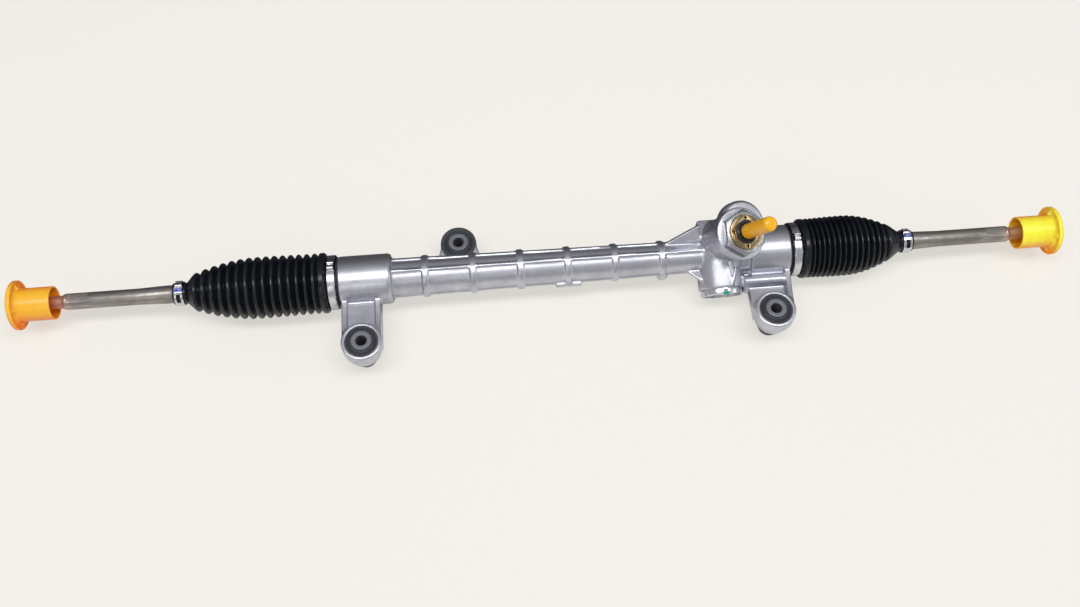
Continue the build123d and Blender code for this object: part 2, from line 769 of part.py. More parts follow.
def housing_bores():
    left, right = rest_offset - stop_half, rest_offset + stop_half
    end_left, end_right = left_face - neck_length - 1, right_face + neck_length + 1
    bores = [rod_about_x(tube_bore_radius, end_left, end_right)]
    bores.append(rod_about_x(end_bore_radius, end_left, left))
    bores.append(rod_about_x(end_bore_radius, right, end_right))
    groove = left + bushing_length / 2
    half = bushing_rib_width / 2 + snug
    bores.append(rod_about_x(tube_bore_radius + bushing_rib + snug, groove - half, groove + half))
    half_face = pinion_face / 2 + 1
    low = -pinion_face / 2 - journal_length - snug
    journal = journal_radius + needle_shell + snug
    tower = rod_about_z(journal, low, 0) + rod_about_z(tip_radius + 0.8, -half_face, bearing_low)
    tower += rod_about_z(bearing_radius, bearing_low - snug, tower_top)
    tower += rod_about_z(screw_radius + snug, bearing_top, tower_top + 1)
    bores.append(pinion_plane * tower)
    guide = rod_about_z(guide_radius + fit, 0, boss_length)
    guide += rod_about_z(plug_radius + snug, boss_length - plug_length - 1, boss_length + 1)
    bores.append(guide_plane * guide)
    for _, x, y, top, low, _ in lug_places():
        bores.append(Pos(x, y, 0) * rod_about_z(rubber_radius + snug, low - 1, top + 1))
    return bores


def housing():
    body = housing_barrel()
    body += tube_ribs() + tube_ridges() + tube_pads() + gear_webs() + mounting_lugs()
    body += [guide_boss(), pinion_tower(), tower_shoulder(), tower_mantle(), barrel_stud()]
    body += boss_front_ribs()
    return body - housing_bores()


def rack_bushing():
    left = rest_offset - stop_half
    outer, half = tube_bore_radius - snug, bushing_rib_width / 2
    middle = left + bushing_length / 2
    start, end = left + 0.5, left + bushing_length
    inner = bar_radius + fit
    return about_x([(start, inner), (start, outer), (middle - half, outer),
                    (middle - half, outer + bushing_rib), (middle + half, outer + bushing_rib),
                    (middle + half, outer), (end, outer), (end, inner)])


def lug_rubber(name, x, y, top, low, radius):
    """Rubber between a lug and its sleeve. The upper one also has a flange over the lug's face."""
    inner, outer, high = sleeve_radius + snug, rubber_radius, top - 0.5
    middle, foot = (inner + outer) / 2, rubber_stub_end
    points = [(inner, foot), (rubber_stub_radius - 1, foot), (rubber_stub_radius, foot + 1),
              (outer - 1, low + 0.5), (outer, low + 1.5)]
    if name == "upper":
        high = top + rubber_flange
        brim = radius - 0.5
        points += [(outer, top + snug), (brim, top + snug), (brim, high - 1), (brim - 1, high)]
    else:
        points += [(outer, high)]
    points += [(middle + 1.6, high), (middle, high - rubber_groove), (middle - 1.6, high),
               (inner, high)]
    return Pos(x, y, 0) * about_z(points)


def lug_sleeve(name, x, y, top):
    high = top + sleeve_proud + (rubber_flange if name == "upper" else 0)
    low, cut = sleeve_bottom, sleeve_chamfer
    points = [(bolt_radius + cut, low), (sleeve_radius - sleeve_foot_chamfer, low)]
    points += [(sleeve_radius, low + sleeve_foot_chamfer), (sleeve_radius, high)]
    points += [(bolt_radius + cut, high), (bolt_radius, high - cut), (bolt_radius, low + cut)]
    return Pos(x, y, 0) * about_z(points)


# Inner joints, tie rods, boots and clamps: built for the right side ----------------------------

def lock_washer(offset):
    return about_x([(bar_half_length, socket_stud_radius + snug), (bar_half_length, bar_radius),
                    (joint_start, bar_radius), (joint_start, socket_stud_radius + snug)])


def joint_socket(offset):
    """Steel socket screwed into the rack's end, rolled over at its mouth to keep the ball."""
    start, end = joint_start, joint_start + socket_length
    shell = ball_radius + fit + seat_wall
    mouth = ball_centre + ball_radius * mouth_place
    mouth_radius = ball_radius * sqrt(1 - mouth_place ** 2) + 0.3
    flare = mouth_radius + (end - mouth) * tan(radians(swing_limit + swing_room))
    outer = about_x([(start - socket_stud_length, 0), (start - socket_stud_length, 6),
                     (start - socket_stud_length + 1, socket_stud_radius),
                     (start, socket_stud_radius), (start, socket_radius - 1),
                     (start + 1, socket_radius), (end - 5, socket_radius),
                     (end, socket_radius - 3.5), (end, 0)])
    hollow = Pos(ball_centre, 0, 0) * Sphere(shell) & rod_about_x(
        shell + 1, start + socket_floor, mouth)
    hollow += about_x([(mouth - tiny, 0), (mouth - tiny, mouth_radius), (end + 1, flare),
                       (end + 1, 0)])
    body = outer - hollow
    for side in (-1, 1):
        place = Pos(start + socket_flat_length / 2, 0, side * (socket_flat / 2 + socket_radius))
        body -= place * Box(socket_flat_length, 3 * socket_radius, 2 * socket_radius)
    return body


def ball_seat(offset):
    """Plastic cup between the ball and the socket."""
    mouth = ball_centre + ball_radius * mouth_place - 0.2
    outer = Pos(ball_centre, 0, 0) * Sphere(ball_radius + fit + seat_wall - snug)
    inner = Pos(ball_centre, 0, 0) * Sphere(ball_radius + fit)
    keep = rod_about_x(socket_radius, joint_start + socket_floor + 0.2, mouth)
    cup = (outer & keep) - inner
    return cup


def tie_rod(offset):
    """Ball stud and rod in one forging, with wrench flats and a screwed end."""
    neck = ball_centre + sqrt(ball_radius ** 2 - rod_neck_radius ** 2)
    flat_end = rod_flat_start + rod_flat_length
    points = [(neck - 1, 0), (neck - 1, rod_neck_radius), (neck + rod_neck_length, rod_neck_radius + 1)]
    points += [(boot_seat_start - seat_cone_inside, rod_radius - 0.4)]
    points += [(boot_seat_start, boot_seat_radius), (boot_seat_end, boot_seat_radius)]
    points += [(boot_seat_end + seat_cone_outside, rod_radius)]
    points += [(flat_end + 2, rod_radius), (flat_end + 2 + rod_step, thread_radius + 0.6)]
    points += [(cap_open_end + 11, thread_radius + 0.6), (cap_open_end + 12, thread_radius)]
    points += [(rod_tip - 1.5, thread_radius), (rod_tip, thread_radius - 1.5), (rod_tip, 0)]
    rod = about_x(points) + Pos(ball_centre, 0, 0) * Sphere(ball_radius)
    for side in (-1, 1):
        place = Pos(rod_flat_start + rod_flat_length / 2, 0, side * (rod_flat_width / 2 + 5))
        rod -= place * Box(rod_flat_length, 30, 10)
    return rod


def fold_crest(i):
    """Radius of a boot's fold, counted from the small end."""
    short = max(0, 1 - i / boot_taper_folds)
    return boot_crest - (boot_crest - boot_first_crest) * short ** 2


def fold_edge(k, start, growth):
    """Where the k-th fold from the housing begins. The folds widen evenly towards the rod."""
    share = (k + growth * k ** 2 / (2 * boot_folds)) / (boot_folds + growth * boot_folds / 2)
    return start + (boot_fold_end - start) * share


def boot_tail(offset):
    """The two ends of a boot's tail."""
    middle = boot_tail_middle + (boot_tail_shift if offset > 0 else -boot_tail_shift)
    return middle - boot_tail_length / 2, middle + boot_tail_length / 2


def boot_line(offset, inset):
    """Half section of a boot from its band to its tail, moved inwards by inset."""
    face = offset + housing_half_length
    growth = boot_fold_growth + (boot_growth_shift if offset > 0 else -boot_growth_shift)
    start = face + boot_fold_start
    band = boot_band_radius - inset
    points = [(face + boot_band_start, band), (face + boot_band_end, band)]
    for k in range(boot_folds):
        i = boot_folds - 1 - k
        near, far = fold_edge(k, start, growth), fold_edge(k + 1, start, growth)
        middle, half = (near + far) / 2, (far - near) * boot_crest_share
        crest = fold_crest(i) - inset
        points += [(near, fold_crest(i + 0.5) - boot_fold_depth - inset)]
        points += [(middle - half, crest), (middle + half, crest)]
    return points


def boot(offset):
    """Bellows between the housing's neck and the tie rod."""
    face = offset + housing_half_length
    start, collar = face + boot_lip, face + boot_collar_end
    tail, end = boot_tail(offset)
    collar_outer, collar_inner = neck_radius + snug + boot_collar_wall, neck_radius + snug
    tail_inner = boot_seat_radius + fit
    outer = [(start, collar_outer), (collar, collar_outer)] + boot_line(offset, 0)
    outer += [(tail, tail_inner + boot_wall), (end, tail_inner + boot_wall)]
    inner = [(end, tail_inner), (tail, tail_inner)] + boot_line(offset, boot_wall)[::-1]
    inner += [(collar + boot_wall, collar_inner), (start, collar_inner)]
    return about_x(outer + inner)


def band_clamp(x, inner, width, ear_angle):
    """Steel band with a raised ear."""
    outer = inner + clamp_wall
    half = width / 2
    band = about_x([(x - half, inner), (x - half, outer), (x + half, outer), (x + half, inner)])
    ear = Pos(x, 0, inner + clamp_wall / 2 + clamp_ear / 2) * Box(
        width - 1.5, clamp_ear_length, clamp_ear)
    ear -= rod_about_x(inner + clamp_wall / 2, x - half, x + half)
    return band + Rot(ear_angle, 0, 0) * ear


def large_clamp(offset):
    x = offset + housing_half_length + large_clamp_place
    return band_clamp(x, neck_radius + boot_collar_wall + 2 * snug, large_clamp_width,
                      large_ear_angle)


def small_clamp(offset):
    tail, end = boot_tail(offset)
    return band_clamp((tail + end) / 2, boot_seat_radius + fit + boot_wall + snug,
                      small_clamp_width, small_ear_angle)


def thread_cap(offset):
    """Flanged cap that shields the tie rod's thread and grips its tip."""
    wall_start = cap_flange_start + cap_flange_wall
    outer, inner = cap_barrel_radius, cap_barrel_radius - cap_barrel_wall
    grip = thread_radius + snug
    points = [(cap_open_end, inner), (cap_open_end, outer), (cap_flange_start - 2, outer)]
    points += [(cap_flange_start, outer + 2), (cap_flange_start, cap_flange_radius - 1)]
    points += [(cap_flange_start + 1, cap_flange_radius), (wall_start - 1, cap_flange_radius)]
    points += [(wall_start + 1, cap_flange_radius - 3), (wall_start + cap_dome, outer - 4)]
    points += [(wall_start + cap_dome, 0), (wall_start, 0), (wall_start, grip)]
    points += [(wall_start - grip_length, grip), (wall_start - grip_length, grip + grip_wall)]
    points += [(wall_start - 1, grip + grip_wall), (wall_start - 1, inner)]
    return about_x(points)


# Assembly -------------------------------------------------------------------------------------

def build_all():
    parts["rack_housing"] = housing()
    parts["rack_bushing"] = rack_bushing()
    for name, x, y, top, low, radius in lug_places():
        parts[name + "_bushing_rubber"] = lug_rubber(name, x, y, top, low, radius)
        parts[name + "_bushing_sleeve"] = lug_sleeve(name, x, y, top)
    parts["rack_bar"] = rack_bar()
    parts["pinion_shaft"] = pinion_shaft()
    parts["pinion_bearing_outer_ring"] = bearing_outer_ring()
    parts["pinion_bearing_inner_ring"] = bearing_inner_ring()
    parts["pinion_bearing_balls"] = bearing_balls()
    parts["pinion_bearing_cage"] = bearing_cage()
    parts["pinion_lower_bearing"] = lower_bearing()
    parts["pinion_adjusting_screw"] = adjusting_screw()
    parts["pinion_lock_nut"] = pinion_lock_nut()
    parts["pinion_seal"] = pinion_seal()
    parts["input_shaft_cap"] = shaft_cap()
    parts["rack_guide"] = rack_guide()
    parts["rack_guide_liner"] = guide_liner()
    parts["rack_guide_spring"] = guide_spring()
    parts["rack_guide_plug"] = guide_plug()
    parts["rack_guide_lock_nut"] = guide_lock_nut()
    both_sides("lock_washer", lock_washer)
    both_sides("joint_socket", joint_socket)
    both_sides("ball_seat", ball_seat)
    both_sides("tie_rod", tie_rod)
    both_sides("boot", boot)
    both_sides("boot_large_clamp", large_clamp)
    both_sides("boot_small_clamp", small_clamp)
    both_sides("thread_cap", thread_cap)


build_all()
whole = Compound(list(parts.values())).bounding_box()
origin = Vector(whole.center().X, whole.center().Y, whole.min.Z)
print("origin in the rack's frame", origin)
print("centre distance", centre_distance, "ratio", 2000 * cos(lean) / pinion_teeth / tooth_module)
os.makedirs("parts", exist_ok=True)
for name, shape in parts.items():
    export_step(Pos(-origin) * shape, "parts/" + name + ".step")
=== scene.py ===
import json
import math
import bmesh
import bpy
import numpy as np
from mathutils import Matrix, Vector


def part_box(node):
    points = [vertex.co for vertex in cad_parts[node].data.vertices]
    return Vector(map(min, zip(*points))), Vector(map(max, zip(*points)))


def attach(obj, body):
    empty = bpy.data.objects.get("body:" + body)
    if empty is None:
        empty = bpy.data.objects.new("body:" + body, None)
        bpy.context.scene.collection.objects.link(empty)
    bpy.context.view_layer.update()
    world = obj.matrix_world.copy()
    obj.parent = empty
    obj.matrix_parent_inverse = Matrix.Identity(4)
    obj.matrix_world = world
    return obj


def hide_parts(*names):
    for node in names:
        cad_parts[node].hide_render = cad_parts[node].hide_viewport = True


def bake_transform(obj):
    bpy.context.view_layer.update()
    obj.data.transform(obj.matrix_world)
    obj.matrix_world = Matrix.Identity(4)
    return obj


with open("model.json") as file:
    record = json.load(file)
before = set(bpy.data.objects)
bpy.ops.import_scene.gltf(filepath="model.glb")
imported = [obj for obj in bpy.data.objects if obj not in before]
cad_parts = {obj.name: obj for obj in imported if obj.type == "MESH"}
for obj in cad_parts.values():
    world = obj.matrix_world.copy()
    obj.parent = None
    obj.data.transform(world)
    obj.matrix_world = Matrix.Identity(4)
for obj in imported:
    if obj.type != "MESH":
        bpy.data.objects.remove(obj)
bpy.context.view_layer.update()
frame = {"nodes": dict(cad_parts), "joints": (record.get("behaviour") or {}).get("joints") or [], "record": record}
print("frame loaded, nodes:", len(frame["nodes"]))

mm = 0.001
fit = 0.05      # mm between pieces that fit into each other
sides = (("left", -1), ("right", 1))
lugs = ("lower_left", "lower_right", "upper")
joints = {joint["name"]: joint for joint in frame["joints"]}
rackLine = np.array([0.0, *joints["left_rod_swing"]["pos_m"][1:]])
pinionPlace = np.array(joints["pinion_spin"]["pos_m"])
pinionAxis = np.array(joints["pinion_spin"]["axis"])


def unit(v):
    v = np.array(v, float)
    return v / np.linalg.norm(v)


def softStep(t):
    # 3t^2 - 2t^3, held at 0 and 1 outside
    t = np.clip(t, 0, 1)
    return t * t * (3 - 2 * t)


def addObject(name, data):
    obj = bpy.data.objects.new(name, data)
    bpy.context.scene.collection.objects.link(obj)
    return obj


def readRows(items, what, width, kind=np.float32):
    # one property of every vertex, edge or face, as an array with a row for each
    values = np.empty(len(items) * width, kind)
    items.foreach_get(what, values)
    return values.reshape(-1, width)


def shadeByAngle(obj, sharp=32):
    obj.data.shade_smooth()
    obj.data.set_sharp_from_angle(angle=math.radians(sharp))


def editMesh(obj, edit):
    bm = bmesh.new()
    bm.from_mesh(obj.data)
    edit(bm)
    bm.to_mesh(obj.data)
    bm.free()


def mendMesh(bm):
    bmesh.ops.remove_doubles(bm, verts=bm.verts, dist=1e-7)
    bmesh.ops.recalc_face_normals(bm, faces=bm.faces)


def finishMesh(obj, sharp=32):
    # doubles merged, faces turned outwards, smooth shading with edges kept sharp above an angle
    editMesh(obj, mendMesh)
    shadeByAngle(obj, sharp)
    return obj


def gridMesh(name, points, closeU=False, closeV=False, keep=None):
    # points is an array (rows, columns, 3), closed along u or v on request; face (i, j) joins the
    # points from (i, j) to (i + 1, j + 1), and keep is a mask of the faces
    rows, cols = points.shape[:2]
    index = np.arange(rows * cols).reshape(rows, cols)
    if closeU:
        index = np.vstack([index, index[:1]])
    if closeV:
        index = np.hstack([index, index[:, :1]])
    quads = np.stack([index[:-1, :-1], index[1:, :-1], index[1:, 1:], index[:-1, 1:]], -1)
    if keep is not None:
        quads = quads[keep]
    quads = quads.reshape(-1, 4)
    mesh = bpy.data.meshes.new(name)
    mesh.vertices.add(rows * cols)
    mesh.vertices.foreach_set("co", points.reshape(-1).astype(np.float32))
    mesh.loops.add(quads.size)
    mesh.loops.foreach_set("vertex_index", quads.reshape(-1).astype(np.int32))
    mesh.polygons.add(len(quads))
    mesh.polygons.foreach_set("loop_start", np.arange(0, quads.size, 4, dtype=np.int32))
    mesh.update(calc_edges=True)
    return addObject(name, mesh)


def softLine(corners, rounding):
    # each corner p of a closed line (along, radius[, own rounding]) becomes the quadratic curve
    # (1 - t)^2 a + 2t(1 - t) p + t^2 b, where a and b lie on the line before and after it
    longest = 0.45           # share of a side that one corner may take
    pts = np.array([c[:2] for c in corners], float)
    sizes = [c[2] if len(c) > 2 else rounding for c in corners]
    t = np.linspace(0, 1, 5)[:, None]
    line = []
    for i, size in enumerate(sizes):
        p, before, after = pts[i], pts[i - 1], pts[(i + 1) % len(pts)]
        if size <= 0:
            line.append(p[None])
            continue
        inLength, outLength = np.linalg.norm(before - p), np.linalg.norm(after - p)
        a = p + (before - p) * min(size / inLength, longest)
        b = p + (after - p) * min(size / outLength, longest)
        line.append((1 - t) ** 2 * a + 2 * t * (1 - t) * p + t ** 2 * b)
    return np.vstack(line)


def spinRing(axis, angle):
    # first * cos(angle) + second * sin(angle), with first and second square to the axis
    axis = unit(axis)
    helper = np.array([0.0, 0.0, 1.0]) if abs(axis[2]) < 0.9 else np.array([0.0, 1.0, 0.0])
    first = unit(np.cross(np.cross(axis, helper), axis))
    second = np.cross(axis, first)
    return axis, first * np.cos(angle)[..., None] + second * np.sin(angle)[..., None]


def roundAngles(segments):
    return np.linspace(0, 2 * np.pi, segments, endpoint=False)[None, :]


def spinPoints(line, place, axis, segments=96):
    # place + axis * along + radius * (first * cos a + second * sin a), a all the way round
    axis, ring = spinRing(axis, roundAngles(segments))
    return np.array(place) + mm * (line[:, :1, None] * axis + line[:, 1:2, None] * ring)


def turned(name, corners, place, axis, rounding, segments=96, sharp=32):
    # solid turned about an axis from the corners of its half section, in millimetres
    line = softLine(corners, rounding)
    return finishMesh(gridMesh(name, spinPoints(line, place, axis, segments), True, True), sharp)


def copyOfNode(name, node):
    obj = addObject(name, frame["nodes"][node].data.copy())
    obj.data.materials.clear()
    editMesh(obj, lambda bm: bmesh.ops.remove_doubles(bm, verts=bm.verts, dist=2e-6))
    return obj


def applyModifiers(obj):
    bpy.context.view_layer.update()
    graph = bpy.context.evaluated_depsgraph_get()
    mesh = bpy.data.meshes.new_from_object(obj.evaluated_get(graph))
    obj.modifiers.clear()
    old = obj.data
    obj.data = mesh
    bpy.data.meshes.remove(old)


def addBevel(obj, width):
    bevel = obj.modifiers.new("edges", "BEVEL")
    bevel.width = width * mm
    bevel.segments = 2
    return bevel


def makeFlat(bm):
    bmesh.ops.dissolve_limit(bm, angle_limit=math.radians(2), verts=bm.verts, edges=bm.edges)


def edgedCopy(name, node, width):
    # copy of a CAD node with clean flat faces and its edges broken by a small bevel
    obj = copyOfNode(name, node)
    editMesh(obj, makeFlat)
    bevel = addBevel(obj, width)
    bevel.limit_method = "ANGLE"
    bevel.angle_limit = math.radians(30)
    bevel.use_clamp_overlap = True
    applyModifiers(obj)
    shadeByAngle(obj)
    return obj


def feed(tree, socket, value):
    # another socket is linked on; a number, vector or colour becomes the socket's own value
    if isinstance(value, bpy.types.NodeSocket):
        tree.links.new(value, socket)
    elif socket.type == "RGBA":
        socket.default_value = (*value, 1.0)
    else:
        socket.default_value = value


def newGroup(name, inputs, outputs):
    # numbers and vectors go in, with their usual values, and numbers come out
    group = bpy.data.node_groups.new(name, "ShaderNodeTree")
    for label, value in inputs.items():
        kind = "NodeSocketFloat" if isinstance(value, float) else "NodeSocketVector"
        group.interface.new_socket(label, in_out="INPUT", socket_type=kind).default_value = value
    for label in outputs:
        group.interface.new_socket(label, in_out="OUTPUT", socket_type="NodeSocketFloat")
    return group, group.nodes.new("NodeGroupInput").outputs, group.nodes.new("NodeGroupOutput").inputs


def mathNode(tree, kind, a, b=None, clamp=False):
    node = tree.nodes.new("ShaderNodeMath")
    node.operation = kind
    node.use_clamp = clamp
    for socket, value in zip(node.inputs, (a, b)):
        if value is not None:
            feed(tree, socket, value)
    return node.outputs[0]


def noiseNode(tree, vector, scale, detail, rough, stretch=None):
    if stretch is not None:
        mapping = tree.nodes.new("ShaderNodeMapping")
        feed(tree, mapping.inputs["Scale"], stretch)
        feed(tree, mapping.inputs["Vector"], vector)
        vector = mapping.outputs[0]
    node = tree.nodes.new("ShaderNodeTexNoise")
    for label, value in (("Vector", vector), ("Scale", scale), ("Detail", detail), ("Roughness", rough)):
        feed(tree, node.inputs[label], value)
    return node.outputs[0]


def rangeNode(tree, value, low, high, outLow=0.0, outHigh=1.0):
    node = tree.nodes.new("ShaderNodeMapRange")
    for socket, number in zip(list(node.inputs)[:5], (value, low, high, outLow, outHigh)):
        feed(tree, socket, number)
    return node.outputs[0]


def mixColor(tree, factor, a, b):
    node = tree.nodes.new("ShaderNodeMix")
    node.data_type = "RGBA"
    for socket, value in zip((node.inputs[0], node.inputs[6], node.inputs[7]), (factor, a, b)):
        feed(tree, socket, value)
    return node.outputs[2]


def tint(tree, color, mask, share, other):
    # the colour, drawn to another one by a share of a mask
    return mixColor(tree, mathNode(tree, "MULTIPLY", mask, share), color, other)


def tints(tree, color, look, **masks):
    # the colour, drawn in turn to each of the look's colours that has a mask
    for name, mask in masks.items():
        color = tint(tree, color, mask, look[name + "Share"], look[name])
    return color


def axisNode(tree, vector, axis):
    split = tree.nodes.new("ShaderNodeSeparateXYZ")
    feed(tree, split.inputs[0], vector)
    return split.outputs[axis]


def makeCastSkin():
    # die-cast skin: broad blotches, fine grain and tiny pits from three noises of falling size
    group, given, out = newGroup("castSkin", {
        "Vector": (0, 0, 0), "Blotch Scale": 30.0, "Grain Scale": 900.0, "Pit Scale": 260.0},
        ["Blotch", "Grain", "Pits", "Height"])
    vector = given["Vector"]
    blotch = noiseNode(group, vector, given["Blotch Scale"], 4, 0.6)
    grain = noiseNode(group, vector, given["Grain Scale"], 2, 0.6)
    pits = rangeNode(group, noiseNode(group, vector, given["Pit Scale"], 3, 0.7), 0.66, 0.74)
    height = mathNode(group, "SUBTRACT", grain, mathNode(group, "MULTIPLY", pits, 0.8))
    feed(group, out["Blotch"], rangeNode(group, blotch, 0.35, 0.68))
    feed(group, out["Grain"], grain)
    feed(group, out["Pits"], pits)
    feed(group, out["Height"], height)
    return group


def makeDrawnMarks():
    # fine marks drawn out along one direction, as turning, brushing or handling leaves them
    group, given, out = newGroup("drawnMarks", {
        "Vector": (0, 0, 0), "Stretch": (1, 1, 1), "Scale": 600.0}, ["Marks", "Scratches"])
    vector, stretch = given["Vector"], given["Stretch"]
    coarse = mathNode(group, "MULTIPLY", given["Scale"], 0.35)
    deep = noiseNode(group, vector, coarse, 2, 0.5, stretch)
    feed(group, out["Marks"], noiseNode(group, vector, given["Scale"], 3, 0.6, stretch))
    feed(group, out["Scratches"], rangeNode(group, deep, 0.64, 0.70))
    return group


def makeDulledRimsAndCornerShade():
    # masks of the rims and the corners, from how far the surface bends at each point; the corner mask darkens
    # hollows as painted shade
    group, given, out = newGroup("dulledRimsAndCornerShade", {"Pointiness": 0.5, "Noise": 0.5}, ["Rim", "Corner"])
    shift = rangeNode(group, given["Noise"], 0.0, 1.0, -0.012, 0.012)
    bent = mathNode(group, "ADD", given["Pointiness"], shift)
    feed(group, out["Rim"], rangeNode(group, bent, 0.53, 0.59))
    feed(group, out["Corner"], rangeNode(group, bent, 0.475, 0.405))
    return group


def makeHandled():
    # soft smudges and a thin film of dust, for pieces that have been handled and stored
    group, given, out = newGroup("handled", {"Vector": (0, 0, 0), "Scale": 45.0}, ["Smudge", "Dust"])
    smudge = noiseNode(group, given["Vector"], given["Scale"], 4, 0.65)
    fine = mathNode(group, "MULTIPLY", given["Scale"], 22.0)
    specks = noiseNode(group, given["Vector"], fine, 2, 0.5)
    feed(group, out["Smudge"], rangeNode(group, smudge, 0.4, 0.7))
    feed(group, out["Dust"], rangeNode(group, specks, 0.66, 0.72))
    return group


castSkin = makeCastSkin()
drawnMarks = makeDrawnMarks()
dulledRimsAndCornerShade = makeDulledRimsAndCornerShade()
handled = makeHandled()


def newMaterial(name, metallic=0.0):
    material = bpy.data.materials.new(name)
    material.use_nodes = True
    tree = material.node_tree
    shader = tree.nodes["Principled BSDF"]
    shader.inputs["Metallic"].default_value = metallic
    coords = tree.nodes.new("ShaderNodeTexCoord").outputs["Object"]
    return material, tree, shader.inputs, coords


def useGroup(tree, group, **values):
    node = tree.nodes.new("ShaderNodeGroup")
    node.node_tree = group
    for label, value in values.items():
        feed(tree, node.inputs[label.replace("_", " ")], value)
    return node.outputs


def addBump(tree, shader, height, strength, distance):
    bump = tree.nodes.new("ShaderNodeBump")
    for label, value in (("Strength", strength), ("Distance", distance), ("Height", height)):
        feed(tree, bump.inputs[label], value)
    feed(tree, shader["Normal"], bump.outputs[0])


castLook = {
    "dark": (0.46, 0.465, 0.52), "light": (0.63, 0.635, 0.685), "rough": (0.37, 0.30),   # of the blotches
    "stain": (0.39, 0.39, 0.44), "stainShare": 0.45,              # flow lines and mottles
    "grain": (0.60, 0.60, 0.64), "grainShare": 0.15,
    "pit": (0.18, 0.18, 0.20), "pitShare": 0.5,
    # corner is painted shade that darkens the hollows
    "corner": (0.12, 0.12, 0.15), "cornerShare": 0.7, "cornerRough": 0.15,
    "rim": (0.46, 0.46, 0.51), "rimShare": 0.5, "rimRough": 0.16,
    "metallic": 0.93, "bump": 0.06,
}


def makeCastAluminium():
    # satin die casting: mottles and flow lines in colour and gloss, pits, painted shade in the corners, dulled
    # rims
    look = castLook
    material, tree, shader, coords = newMaterial("cast aluminium", look["metallic"])
    skin = useGroup(tree, castSkin, Vector=coords, Blotch_Scale=26.0, Grain_Scale=1100.0,
                    Pit_Scale=300.0)
    geometry = tree.nodes.new("ShaderNodeNewGeometry")
    edges = useGroup(tree, dulledRimsAndCornerShade, Pointiness=geometry.outputs["Pointiness"], Noise=skin["Grain"])
    flow = noiseNode(tree, coords, 90.0, 3, 0.6, stretch=(0.25, 1.0, 1.0))
    mottle = noiseNode(tree, coords, 170.0, 4, 0.65)
    color = mixColor(tree, skin["Blotch"], look["dark"], look["light"])
    for name, noise, low, high in (("stain", flow, 0.45, 0.7), ("stain", mottle, 0.45, 0.72),
                                   ("grain", skin["Grain"], 0.35, 0.65)):
        share = rangeNode(tree, noise, low, high, 0.0, look[name + "Share"])
        color = mixColor(tree, share, color, look[name])
    # the corner tint paints shade into the hollows
    color = tints(tree, color, look, pit=skin["Pits"], corner=edges["Corner"], rim=edges["Rim"])
    feed(tree, shader["Base Color"], color)
    rough = rangeNode(tree, skin["Blotch"], 0.0, 1.0, *look["rough"])
    for more in (rangeNode(tree, mottle, 0.3, 0.7, -0.03, 0.07),
                 mathNode(tree, "MULTIPLY", edges["Corner"], look["cornerRough"]),
                 mathNode(tree, "MULTIPLY", edges["Rim"], look["rimRough"])):
        rough = mathNode(tree, "ADD", rough, more)
    feed(tree, shader["Roughness"], rough)
    height = mathNode(tree, "ADD", skin["Height"], mathNode(tree, "MULTIPLY", mottle, 1.2))
    addBump(tree, shader, height, look["bump"], 0.00025)
    return material


steelLook = {
    "dark": (0.25, 0.23, 0.21), "light": (0.40, 0.375, 0.35),
    "smudge": (0.17, 0.145, 0.12), "smudgeShare": 0.55,
    "copper": (0.86, 0.52, 0.42), "copperShare": 0.85,
    "copperStart": 545.0, "copperFull": 566.0,            # mm from the part's middle
    "scratch": (0.58, 0.56, 0.53), "scratchShare": 0.35,
    "rough": (0.36, 0.52), "metallic": 0.85, "bump": 0.25,
}


def makeForgedSteel():
    # grey-brown forging, copper-washed towards the thread
    look = steelLook
    material, tree, shader, coords = newMaterial("forged steel", look["metallic"])
    drawn = useGroup(tree, drawnMarks, Vector=coords, Stretch=(0.12, 1.0, 1.0), Scale=520.0)
    touch = useGroup(tree, handled, Vector=coords, Scale=38.0)
    outward = mathNode(tree, "ABSOLUTE", axisNode(tree, coords, "X"))
    copper = rangeNode(tree, outward, look["copperStart"] * mm, look["copperFull"] * mm)
    color = mixColor(tree, rangeNode(tree, drawn["Marks"], 0.3, 0.7), look["dark"], look["light"])
    color = tints(tree, color, look, smudge=touch["Smudge"], copper=copper, scratch=drawn["Scratches"])
    feed(tree, shader["Base Color"], color)
    feed(tree, shader["Roughness"], rangeNode(tree, touch["Smudge"], 0.0, 1.0, *look["rough"]))
    addBump(tree, shader, drawn["Marks"], look["bump"], 0.0002)
    return material


metalLook = {
    "zinc_plate": {"base": (0.58, 0.59, 0.62), "smudge": (0.46, 0.47, 0.51), "light": (0.70, 0.71, 0.74),
                   "rough": 0.24, "marks": 0.25, "scale": 900.0, "bump": 0.05, "smudges": 0.2},
    "dull_zinc": {"base": (0.37, 0.375, 0.385), "smudge": (0.27, 0.275, 0.285),
                  "light": (0.50, 0.505, 0.51), "rough": 0.31, "marks": 0.25, "scale": 700.0,
                  "bump": 0.05, "smudges": 0.3},
    "yellow_zinc": {"base": (0.27, 0.205, 0.11), "smudge": (0.20, 0.165, 0.13),
                    "light": (0.37, 0.28, 0.14), "rough": 0.30, "marks": 0.2, "scale": 420.0,
                    "bump": 0.05, "smudges": 0.45},
    "sleeve_steel": {"base": (0.17, 0.175, 0.20), "smudge": (0.12, 0.125, 0.145),
                     "light": (0.23, 0.235, 0.26), "rough": 0.46, "marks": 0.3, "scale": 700.0,
                     "metallic": 0.6},
    "machined_steel": {"base": (0.46, 0.47, 0.50), "smudge": (0.34, 0.34, 0.37),
                       "light": (0.62, 0.63, 0.66), "rough": 0.24, "marks": 0.3,
                       "stretch": (0.15, 1, 1), "scale": 700.0},
    "bearing_steel": {"base": (0.62, 0.63, 0.66), "smudge": (0.5, 0.5, 0.53), "light": (0.76, 0.77, 0.8),
                      "rough": 0.14, "marks": 0.2, "scale": 900.0, "bump": 0.05},
    "guide_alloy": {"base": (0.55, 0.55, 0.58), "smudge": (0.42, 0.42, 0.45), "light": (0.68, 0.68, 0.7),
                    "rough": 0.36, "marks": 0.3, "scale": 800.0},
}


